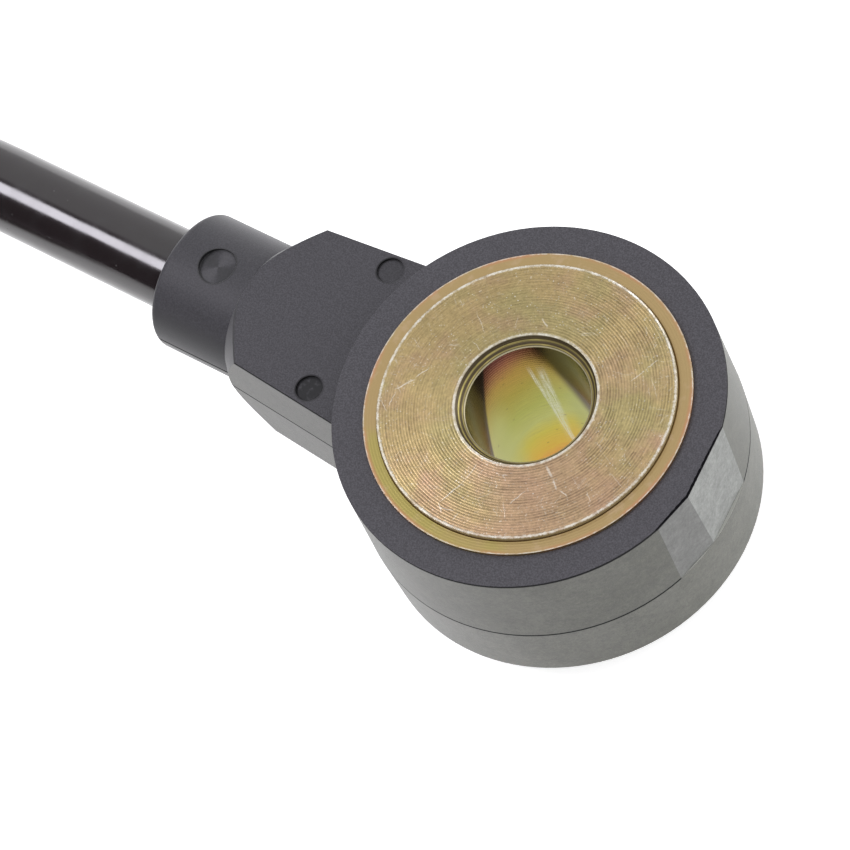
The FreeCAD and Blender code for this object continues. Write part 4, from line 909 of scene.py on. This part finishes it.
# Finishes of the pieces that keep their CAD shapes, and the nodes that have them.
CAD_FINISHES = (
    (WorkedMetal("plain_steel", (0.52, 0.52, 0.52), (0.36, 0.35, 0.34)), ("seismic_mass", "ring_nut")),
    (WorkedMetal("spring_steel", (0.30, 0.31, 0.34), (0.16, 0.18, 0.26)), ("disc_spring",)),
    (WorkedMetal("contact_bronze", (0.70, 0.48, 0.27), (0.5, 0.3, 0.15)), ("front_contact", "rear_contact")),
    (WorkedMetal("tinned_brass", (0.72, 0.70, 0.64), (0.5, 0.47, 0.4), rings=False),
     ("splice_a", "splice_b", "socket_a", "socket_b")),
    (WorkedMetal("bare_copper", (0.80, 0.42, 0.25), (0.5, 0.2, 0.1), rings=False), ("copper_a", "copper_b")),
    (WorkedMetal("crimp_steel", (0.62, 0.62, 0.60), (0.45, 0.42, 0.35), rings=False), ("crimp_ring",)),
    (WovenBraid(), ("shield_braid",)),
    (PlainPlastic("insulating_film", (0.62, 0.42, 0.14), (0.7, 0.52, 0.22), 0.35),
     ("liner", "front_washer", "rear_washer")),
    (PlainPlastic("piezo_ceramic", (0.78, 0.75, 0.68), (0.66, 0.63, 0.58), 0.6, 8.0), ("piezo_ring",)),
    (PlainPlastic("chip_ceramic", (0.02, 0.022, 0.024), (0.05, 0.05, 0.05), 0.3), ("shunt_resistor",)),
    (PlainPlastic("core_red", (0.42, 0.03, 0.02), (0.5, 0.06, 0.04), 0.35), ("core_a", "plug_wire_a")),
    (PlainPlastic("core_white", (0.72, 0.71, 0.68), (0.62, 0.6, 0.55), 0.35), ("core_b", "plug_wire_b")),
    (PlainPlastic("jacket_black", (0.012, 0.012, 0.013), (0.03, 0.03, 0.03), 0.3), ("jacket_end", "plug_jacket")),
    (PlainPlastic("plug_black", (0.022, 0.022, 0.024), (0.05, 0.05, 0.052), 0.5, 7.0, 0.015, 0.2), ("plug_shell",)),
    (PlainPlastic("boot_rubber", (0.016, 0.016, 0.016), (0.045, 0.044, 0.042), 0.7, 9.0, 0.01, 0.15),
     ("plug_boot",)),
    (PlainPlastic("seal_orange", (0.55, 0.13, 0.03), (0.62, 0.2, 0.07), 0.45, 9.0, 0.006, 0.1),
     ("plug_seal", "wire_seal_a", "wire_seal_b")),
    (PlainPlastic("lock_grey", (0.35, 0.36, 0.38), (0.45, 0.46, 0.47), 0.45), ("plug_lock",)),
    (MouldedNylon(), ("housing",)),
)


# Meshes


def mesh_object(name: str, points: np.ndarray, faces: np.ndarray, smooth: bool = True) -> bpy.types.Object:
    """Make an object from arrays of points in millimetres and of four-cornered faces.

    Args:
        name: Name of the object and its mesh.
        points: One row of x, y and z for each point.
        faces: One row of four point numbers for each face.
        smooth: Whether faces are shaded smooth.

    Returns:
        The object, linked to the scene, with its place in its mesh.
    """
    mesh = bpy.data.meshes.new(name)
    mesh.vertices.add(len(points))
    mesh.vertices.foreach_set("co", (points * MM).astype(np.float32).ravel())
    mesh.loops.add(faces.size)
    mesh.loops.foreach_set("vertex_index", faces.astype(np.int32).ravel())
    mesh.polygons.add(len(faces))
    mesh.polygons.foreach_set("loop_start", np.arange(0, faces.size, 4, dtype=np.int32))
    mesh.polygons.foreach_set("use_smooth", np.full(len(faces), smooth))
    mesh.update(calc_edges=True)
    mesh.validate()
    item = bpy.data.objects.new(name, mesh)
    bpy.context.scene.collection.objects.link(item)
    return item


def closed_grid(rows: int, columns: int) -> np.ndarray:
    """Faces of a grid whose rows and columns both close: each face joins a point to its three later neighbours."""
    first = np.arange(rows)[:, None]
    second = np.arange(columns)[None, :]
    after_row = (first + 1) % rows
    after_column = (second + 1) % columns
    corners = [
        first * columns + second,
        after_row * columns + second,
        after_row * columns + after_column,
        first * columns + after_column,
    ]
    return np.stack([np.broadcast_to(c, (rows, columns)).ravel() for c in corners], axis=1)


def bar_faces(steps: int) -> np.ndarray:
    """Faces of a bar with a four-cornered section along a path, with both ends closed.

    The section's corners run anticlockwise as seen from the path's tip.
    """
    rows = np.arange(steps - 1)[:, None] * 4
    ring = np.arange(4)[None, :]
    after = (ring + 1) % 4
    sides = np.stack([rows + ring, rows + after, rows + 4 + after, rows + 4 + ring], axis=2).reshape(-1, 4)
    last = (steps - 1) * 4
    ends = np.array([[3, 2, 1, 0], [last, last + 1, last + 2, last + 3]])
    return np.concatenate([sides, ends])


def smooth_step(share: np.ndarray) -> np.ndarray:
    """Three times the square less twice the cube, of a share kept between nought and one."""
    kept = np.clip(share, 0, 1)
    return kept ** 2 * (3 - 2 * kept)


def dress(item: bpy.types.Object, material: bpy.types.Material) -> None:
    """Give an object one material in its first slot."""
    if item.data.materials:
        item.data.materials[0] = material
    else:
        item.data.materials.append(material)


# The studio


@dataclass(frozen=True)
class Lamp:
    """A rectangular lamp that faces the part. Sizes are in metres.

    Its direction runs from the part to the lamp. The side called along runs with the part's X.
    Its brightness is one where it looks like a white surface in plain light.
    """

    name: str
    direction: Triple
    distance: float
    along: float
    across: float
    brightness: float
    colour: Colour

    def build(self) -> None:
        """Make the lamp."""
        data = bpy.data.lights.new(self.name, "AREA")
        data.shape = "RECTANGLE"
        data.size = self.along
        data.size_y = self.across
        data.color = self.colour
        data.energy = self.brightness * math.pi * self.along * self.across
        lamp = bpy.data.objects.new(self.name, data)
        toward = Vector(self.direction).normalized()
        level = (Vector((1.0, 0.0, 0.0)) - toward * toward.x).normalized()
        turned = Matrix((level, toward.cross(level), toward)).transposed().to_4x4()
        lamp.matrix_world = Matrix.Translation(toward * self.distance) @ turned
        bpy.context.scene.collection.objects.link(lamp)


@dataclass
class Studio:
    """Camera, lamps, world and floor. Sizes are in metres, directions in the part's frame."""

    camera_place: Triple = (-0.13608, 0.09007, 0.2842)
    right: Triple = (-0.8035, -0.5411, -0.25)
    up: Triple = (0.3931, -0.7969, 0.46)
    lens: float = 203.84
    sensor: float = 36.0
    floor_size: float = 4.0
    floor_white: Colour = (0.86, 0.86, 0.855)
    floor_glow: Colour = (1.0, 1.0, 0.995)
    glow: float = 0.6
    sky: Colour = (0.98, 0.985, 1.0)
    sky_light: float = 0.95
    screen_dark: float = 0.88
    screen_start: Span = (-3.0, 6.0)
    screen_end: Span = (103.0, 93.0)
    screen_ahead: Span = (0.12, 0.3)
    lamps: tuple[Lamp, ...] = (
        Lamp("key_strip", (0.548, 0.329, 0.769), distance=0.63, along=0.22, across=0.21,
             brightness=11.0, colour=(0.95, 0.92, 1.0)),
        Lamp("right_panel", (-0.565, -0.806, 0.174), distance=0.5, along=0.3, across=0.2,
             brightness=6.5, colour=(1.0, 1.0, 0.99)),
    )

    def build(self) -> None:
        """Make everything that isn't the part."""
        bpy.context.scene.view_settings.view_transform = "Standard"
        self._camera()
        self._world()
        self._floor()
        for lamp in self.lamps:
            lamp.build()

    def _camera(self) -> None:
        """The camera looks along the cross product of its up and right."""
        data = bpy.data.cameras.new("camera")
        data.lens = self.lens
        data.sensor_width = self.sensor
        data.clip_start = 0.01
        camera = bpy.data.objects.new("camera", data)
        right = Vector(self.right).normalized()
        back = right.cross(Vector(self.up)).normalized()
        turned = Matrix((right, back.cross(right), back)).transposed().to_4x4()
        camera.matrix_world = Matrix.Translation(Vector(self.camera_place)) @ turned
        bpy.context.scene.collection.objects.link(camera)
        bpy.context.scene.camera = camera

    def _world(self) -> None:
        """Even light from all round, a dark screen beside the lamp in reflections, and white behind the part.

        The screen covers the directions whose turn about X, from straight up towards +Y, lies between two angles.
        """
        world = bpy.data.worlds.new("world")
        bpy.context.scene.world = world
        world.use_nodes = True
        tree = world.node_tree
        tree.nodes.clear()
        g = Graph.around(tree)
        path = g.add("ShaderNodeLightPath")
        x, y, z = g.split(g.add("ShaderNodeTexCoord").outputs["Generated"])
        turn = g.turn(y, z)
        screen = g.rise(turn, *np.radians(self.screen_start)) * g.rise(turn, *np.radians(self.screen_end))
        screen = screen * g.rise(x, *self.screen_ahead) * Value(g, path.outputs["Is Glossy Ray"])
        light = g.add("ShaderNodeBackground", inputs={
            "Color": self.sky, "Strength": self.sky_light - self.screen_dark * screen})
        white = g.add("ShaderNodeBackground", inputs={"Strength": 1.0})
        mixed = g.add("ShaderNodeMixShader", inputs={
            0: path.outputs["Is Camera Ray"], 1: light.outputs[0], 2: white.outputs[0]})
        output = g.add("ShaderNodeOutputWorld")
        tree.links.new(mixed.outputs[0], output.inputs["Surface"])

    def _floor(self) -> None:
        """A white floor that keeps the part's soft shadow."""
        half = self.floor_size / 2 / MM
        corners = np.array([(-half, -half, 0), (half, -half, 0), (half, half, 0), (-half, half, 0)])
        floor = mesh_object("floor", corners, np.array([[0, 1, 2, 3]]), smooth=False)
        g = Graph("floor_white")
        path = g.add("ShaderNodeLightPath")
        camera, glossy, through = (Value(g, path.outputs[f"Is {kind} Ray"])
                                   for kind in ("Camera", "Glossy", "Transmission"))
        seen = g.most(g.most(camera, glossy), through)
        dress(floor, g.surface(Base_Color=self.floor_white, Roughness=0.9, Specular_IOR_Level=0.1,
                               Emission_Color=self.floor_glow, Emission_Strength=seen * self.glow))


# The pieces with shapes of their own


@dataclass
class CoilTie:
    """The tie that holds the coil: a nylon band round both layers, drawn through its head.

    Its plane stands upright on the coil and holds the coil's radius through it.
    """

    coil_centre: tuple[float, float]
    coil_radius: float
    around: float = math.radians(45.0)
    thick: float = 1.0
    width: float = 3.4
    tail_top: float = 12.2
    tail_shift: float = 1.15
    head_low: float = 3.9
    head_high: float = 8.1
    head_grip: float = 0.6
    head_slope: float = 0.4
    edge_round: float = 0.16
    steps: int = 24

    def build(self) -> list[bpy.types.Object]:
        """Make the band and its head."""
        nylon = PlainPlastic("tie_nylon", (0.024, 0.024, 0.026), (0.06, 0.06, 0.062), roughness=0.42,
                             grain=3.0, depth=0.02, edge_round=0.08)
        material = nylon.material()
        pieces = [self._band(), self._head()]
        for item in pieces:
            bevel = item.modifiers.new("bevel", "BEVEL")
            bevel.width = self.edge_round * MM
            bevel.segments = 2
            dress(item, material)
            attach(item, ROOT)
        return pieces

    def _place(self, out: np.ndarray, along: np.ndarray, height: np.ndarray) -> np.ndarray:
        """Points from distances out from the cable's middle, along the cable, and up."""
        reach = self.coil_radius + out
        cosine, sine = math.cos(self.around), math.sin(self.around)
        x = self.coil_centre[0] + reach * cosine - along * sine
        y = self.coil_centre[1] + reach * sine + along * cosine
        return np.stack([x, y, height], axis=-1).reshape(-1, 3)

    def _band(self) -> bpy.types.Object:
        """The band: up from the head, half a circle over the top, down, half a circle below, and up as the tail.

        The tail leaves the loop's line by one thickness and a little more, by a smooth step.
        """
        low, high = LEVELS.cable, 3 * LEVELS.cable
        loop = low + self.thick / 2
        half_turn = np.linspace(0, math.pi, self.steps)
        rise = np.linspace(self.head_low + self.head_grip, high, 4)[:-1]
        fall = np.linspace(high, low, 6)[1:-1]
        tail = np.linspace(low, self.tail_top, 12)[1:]
        turned = np.concatenate([0 * rise, half_turn, 0 * fall + math.pi, math.pi + half_turn, 0 * tail + 2 * math.pi])
        height = np.concatenate([rise, high + loop * np.sin(half_turn), fall, low - loop * np.sin(half_turn), tail])
        out = loop * np.cos(turned)
        # The last eighth of the lower half circle leads out to the tail.
        shift = self.tail_shift * self.thick * smooth_step((turned - 1.75 * math.pi) / (0.25 * math.pi))
        # The band lies flush with the floor where the coil rests on it.
        height = np.maximum(height, self.thick / 2)
        corners = []
        for side, level in ((1, -1), (-1, -1), (-1, 1), (1, 1)):
            off = shift + level * self.thick / 2
            corners.append(self._place(out + off * np.cos(turned), np.full_like(out, side * self.width / 2),
                                       np.maximum(height + off * np.sin(turned), 0.0)))
        points = np.stack(corners, axis=1).reshape(-1, 3)
        return mesh_object("coil_tie_band", points, bar_faces(len(out)), smooth=False)

    def _head(self) -> bpy.types.Object:
        """The head: a block with a slot, both outlines superellipses of the eighth power."""
        angle = np.linspace(0, 2 * math.pi, 64, endpoint=False)
        cosine = np.sign(np.cos(angle)) * np.abs(np.cos(angle)) ** 0.25
        sine = np.sign(np.sin(angle)) * np.abs(np.sin(angle)) ** 0.25
        middle = LEVELS.cable + self.thick / 2
        # Each row: half sizes out and along, its middle, and its height. Up the slot, then down the outside.
        rows = [
            (1.2, 1.9, 0.7, self.head_low),
            (1.2, 1.9, 0.7, self.head_high),
            (1.5, 2.5, 1.0, self.head_high),
            (1.8, 2.8, 1.2, self.head_high - self.head_slope),
            (1.8, 2.8, 1.2, self.head_low + self.head_slope),
            (1.5, 2.5, 1.0, self.head_low),
        ]
        layers = [self._place(middle + offset + half * cosine, wide * sine, np.full_like(angle, height))
                  for half, wide, offset, height in rows]
        return mesh_object("coil_tie_head", np.concatenate(layers), closed_grid(len(rows), len(angle)), smooth=False)


@dataclass
class Lead:
    """The lead: one smooth curve from the collar, round the coil and back to the plug. Sizes are in metres."""

    level_end: float = 0.053
    floor_start: float = 0.066
    coil_entry: float = 0.0205
    plug_run: float = 0.010
    turns: float = 1.5
    steps_in_turn: int = 24
    ramp_from: float = 190.0
    ramp_to: float = 250.0
    length: float = 0.376
    pieces: Sequence[bpy.types.Object] = field(default_factory=list)

    def __post_init__(self) -> None:
        """Read the coil's place from the box of its CAD solid."""
        low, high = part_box("lead_coil")
        self.radius = LEVELS.cable * MM
        self.exit = (LEVELS.collar_end * MM, 0.0, LEVELS.arm * MM)
        self.coil_radius = (high.y - low.y) / 2 - self.radius
        self.coil_centre = (high.x - (high.y - low.y) / 2, (low.y + high.y) / 2)

    def build(self) -> None:
        far = self.coil_centre[1] + self.coil_radius
        entry = self.coil_centre[0] - self.coil_entry
        points = [
            self.exit,
            (0.5 * (self.exit[0] + self.level_end), 0.0, self.exit[2]),
            (self.level_end, 0.0, self.exit[2]),
            (self.floor_start, 0.0, self.radius),
            (entry, 0.0, self.radius),
            *self._coil(),
            (entry + self.plug_run, far, 3 * self.radius),
            (entry, far, 3 * self.radius),
        ]
        data = bpy.data.curves.new("lead_cord", "CURVE")
        data.dimensions = "3D"
        spline = data.splines.new("NURBS")
        spline.points.add(len(points) - 1)
        spline.points.foreach_set("co", [number for point in points for number in (*point, 1.0)])
        spline.order_u = 3
        spline.use_endpoint_u = True
        spline.resolution_u = 12
        data.bevel_depth = self.radius
        data.bevel_resolution = 12
        data.use_fill_caps = True
        cord = bpy.data.objects.new("lead_cord", data)
        bpy.context.scene.collection.objects.link(cord)
        dress(cord, CableJacket().material())
        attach(cord, ROOT)
        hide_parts("lead", "lead_coil")
        tie = CoilTie((self.coil_centre[0] / MM, self.coil_centre[1] / MM), self.coil_radius / MM).build()

    def _coil(self) -> list[Triple]:
        """The turns: points on a circle, a little outside it because the curve runs inside its points."""
        step = 360.0 / self.steps_in_turn
        grown = 2.0 * self.coil_radius / (1.0 + math.cos(math.radians(step / 2)))
        points = []
        for index in range(int(self.turns * self.steps_in_turn) + 1):
            heading = index * step - 90.0
            around = math.radians(heading)
            climb = min(max((heading - self.ramp_from) / (self.ramp_to - self.ramp_from), 0.0), 1.0)
            points.append((self.coil_centre[0] + grown * math.cos(around),
                           self.coil_centre[1] + grown * math.sin(around),
                           self.radius * (1 + 2 * climb)))
        return points


@dataclass
class Sleeve:
    """The turned sleeve, with the tool's spiral on its faces and burrs at its edges."""

    bore: float = 4.25
    tube: float = 5.7
    mouth: float = 4.79
    mouth_step: float = 4.6
    mouth_step_depth: float = 0.35
    mouth_depth: float = 0.68
    mouth_pitch: float = 0.12
    mouth_ridge: float = 0.012
    disc: float = 10.1
    disc_rise: float = 0.3
    groove_width: float = 0.12
    groove_depth: float = 0.04
    flange_thick: float = 2.1
    chamfer: float = 0.35
    pitch: float = 0.195
    ridge: float = 0.006
    burr: float = 0.012
    edge_hold: float = 0.006
    segments: int = 560

    def build(self) -> None:
        """Make the turned mesh in place of the plain one."""
        radius, height, cut = self._profile()
        angle = np.linspace(0, 2 * math.pi, self.segments, endpoint=False)
        # Spiral of the facing cut: height falls by a sine of the radius in pitches less the part of a turn.
        phase = 2 * math.pi * radius[:, None] / self.pitch - angle[None, :]
        drop = cut[:, None] * self.ridge * (1 - np.cos(phase))
        # Rings in the mouth: the radius grows and shrinks by a sine of the depth.
        depth = LEVELS.contact - height
        in_mouth = (radius > self.bore + 0.01) & (radius < self.mouth - 0.01) & (depth < self.mouth_depth)
        rings = self.mouth_ridge * np.sin(2 * math.pi * depth / self.mouth_pitch) * in_mouth
        rows = (radius + rings)[:, None] * np.ones_like(angle)[None, :]
        levels = height[:, None] - drop + self._burrs(radius, height, angle)
        points = np.stack([rows * np.cos(angle), rows * np.sin(angle), levels], axis=2).reshape(-1, 3)
        item = mesh_object("turned_sleeve", points, closed_grid(len(radius), self.segments))
        dress(item, PassivatedSteel().material())
        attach(item, ROOT)
        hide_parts("sleeve")

    def _profile(self) -> tuple[np.ndarray, np.ndarray, np.ndarray]:
        """Radius, height and share of tool cut along the closed section.

        The section runs up the bore first and down the outside, so that the grid's faces point outwards.
        """
        top = LEVELS.contact
        ledge = top - self.disc_rise
        under = ledge - self.flange_thick
        flange = LEVELS.flange
        cuts = int((self.disc - self.mouth) / (self.pitch / 6))
        # Each corner: radius, height, points on the way to the next corner, and share of tool cut there.
        corners = [
            (self.bore, self.chamfer, 24, 0.0),
            (self.bore, top - self.mouth_depth, 18, 0.0),
            (self.mouth_step, top - self.mouth_step_depth, 18, 0.0),
            (self.mouth, top, cuts, 1.0),
            (self.disc, top, 4, 0.0),
            (self.disc, ledge - self.groove_depth, 4, 0.0),
            (self.disc + self.groove_width, ledge, 12, 0.2),
            (flange, ledge, 4, 0.0),
            (flange, under, 4, 0.0),
            (self.tube, under, 6, 0.0),
            (self.tube, self.chamfer, 3, 0.0),
            (self.tube - self.chamfer, 0.0, 6, 0.0),
            (self.bore + self.chamfer, 0.0, 3, 0.0),
        ]
        runs = [self._run(first[:2], last[:2], first[2], first[3])
                for first, last in zip(corners, corners[1:] + corners[:1])]
        return tuple(np.concatenate(runs).T)

    def _run(self, first: Span, last: Span, count: int, cut: float) -> np.ndarray:
        """Even points from first towards last, without last: doubled near both ends to hold the edge sharp."""
        share = np.linspace(0, 1, count + 1)[:-1]
        near = self.edge_hold / max(math.dist(first, last), 0.02)
        share = np.unique(np.concatenate([share, [near, 1 - near]]))
        line = np.outer(1 - share, first) + np.outer(share, last)
        inner = np.minimum(share, 1 - share) > near * 1.5
        return np.column_stack([line, cut * inner])

    def _burrs(self, radius: np.ndarray, height: np.ndarray, angle: np.ndarray) -> np.ndarray:
        """Ragged lips at the disc's rim and the mouth: a bump in radius times a sum of sines round the edge."""
        top = np.abs(height - LEVELS.contact) < 0.001
        lip = np.exp(-((radius - self.disc + 0.05) / 0.05) ** 2)
        lip = lip + 0.8 * np.exp(-((radius - self.mouth - 0.06) / 0.06) ** 2)
        ragged = 0.6 + 0.4 * np.sin(23 * angle + 1.0) * np.sin(61 * angle) + 0.25 * np.sin(131 * angle + 2.0)
        return self.burr * (top * lip)[:, None] * np.clip(ragged, 0, 2)[None, :]


@dataclass
class RimFlash:
    """A ragged film that stands on the rim above the two flats. Angles are in degrees."""

    start: float = 162.5
    end: float = 198.0
    inset: float = 0.13
    height: float = 0.03
    drop: float = 0.17
    inner: float = -0.08
    outer: float = 0.045
    lean: float = 0.012
    flats: tuple[Span, ...] = ((187.2, 0.28), (170.3, 0.085))
    black: Colour = (0.006, 0.006, 0.007)
    torn: Colour = (0.09, 0.09, 0.09)
    steps: int = 400

    def build(self) -> None:
        """Make the film.

        Its path follows the rim, its height is a sum of sines that fades to nothing at both ends.
        """
        share = np.linspace(0, 1, self.steps)
        angle = np.radians(self.start + share * (self.end - self.start))
        fade = np.sin(math.pi * share) ** 0.35
        ragged = 0.75 + 0.2 * np.sin(222 * share) * np.sin(66 * share + 1) + 0.15 * np.sin(391 * share)
        ragged = ragged + 0.5 * np.exp(-((share - 0.93) / 0.05) ** 2)
        above = self.height * fade * np.clip(ragged, 0.15, 1.3)
        below = -self.drop * fade * np.clip(ragged, 0.4, 1.4)
        # The two flats draw the rim in, so the film follows the straight between their ends.
        rim = LEVELS.ring - self.inset
        reach = np.full_like(angle, rim)
        for heading, depth in self.flats:
            reach = np.minimum(reach, (rim - depth) / np.cos(angle - math.radians(heading)))
        lean = self.lean * np.sin(91 * share) * fade
        sides = []
        for offset, tilt, rise in ((self.inner, 0.0, below), (self.inner, lean, above),
                                   (self.outer, lean, above), (self.outer, 0.0, below)):
            out = reach + offset * fade + tilt
            sides.append(np.stack([out * np.cos(angle), out * np.sin(angle), LEVELS.rim + rise], axis=1))
        points = np.stack(sides, axis=1).reshape(-1, 3)
        item = mesh_object("rim_flash", points, bar_faces(self.steps), smooth=False)
        dress(item, self._material())
        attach(item, ROOT)

    def _material(self) -> bpy.types.Material:
        """Black without gloss, greyer where the film is torn."""
        g = Graph("flash_black")
        torn = g.cloud(Spot(g).place, Cloud(3.0, 3.0, 0.7), (0.55, 0.75))
        colour = g.coat(self.black, (torn, 0.4, self.torn))
        return g.surface(Base_Color=colour, Roughness=0.8, Specular_IOR_Level=0.0)


def dress_nodes(nodes: dict[str, bpy.types.Object]) -> None:
    """Give every CAD node that keeps its shape its finish."""
    for finish, names in CAD_FINISHES:
        material = finish.material()
        for name in names:
            dress(nodes[name], material)


def write_sizes() -> None:
    """Update the view layer."""
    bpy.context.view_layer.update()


def main() -> None:
    """Build the studio, the lead and every piece of the sensor."""
    logging.basicConfig(level=logging.INFO, format="%(name)s: %(message)s")
    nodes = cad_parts
    steps: dict[str, Callable[[], None]] = {
        "studio": Studio().build,
        "lead": Lead(pieces=[nodes[name] for name in PLUG_NODES]).build,
        "sleeve": Sleeve().build,
        "rim flash": RimFlash().build,
        "pieces with CAD shapes": lambda: dress_nodes(nodes),
        "sizes": write_sizes,
    }
    for what, build in steps.items():
        build()
        LOG.info("%s: done", what)


if __name__ == "__main__":
    main()
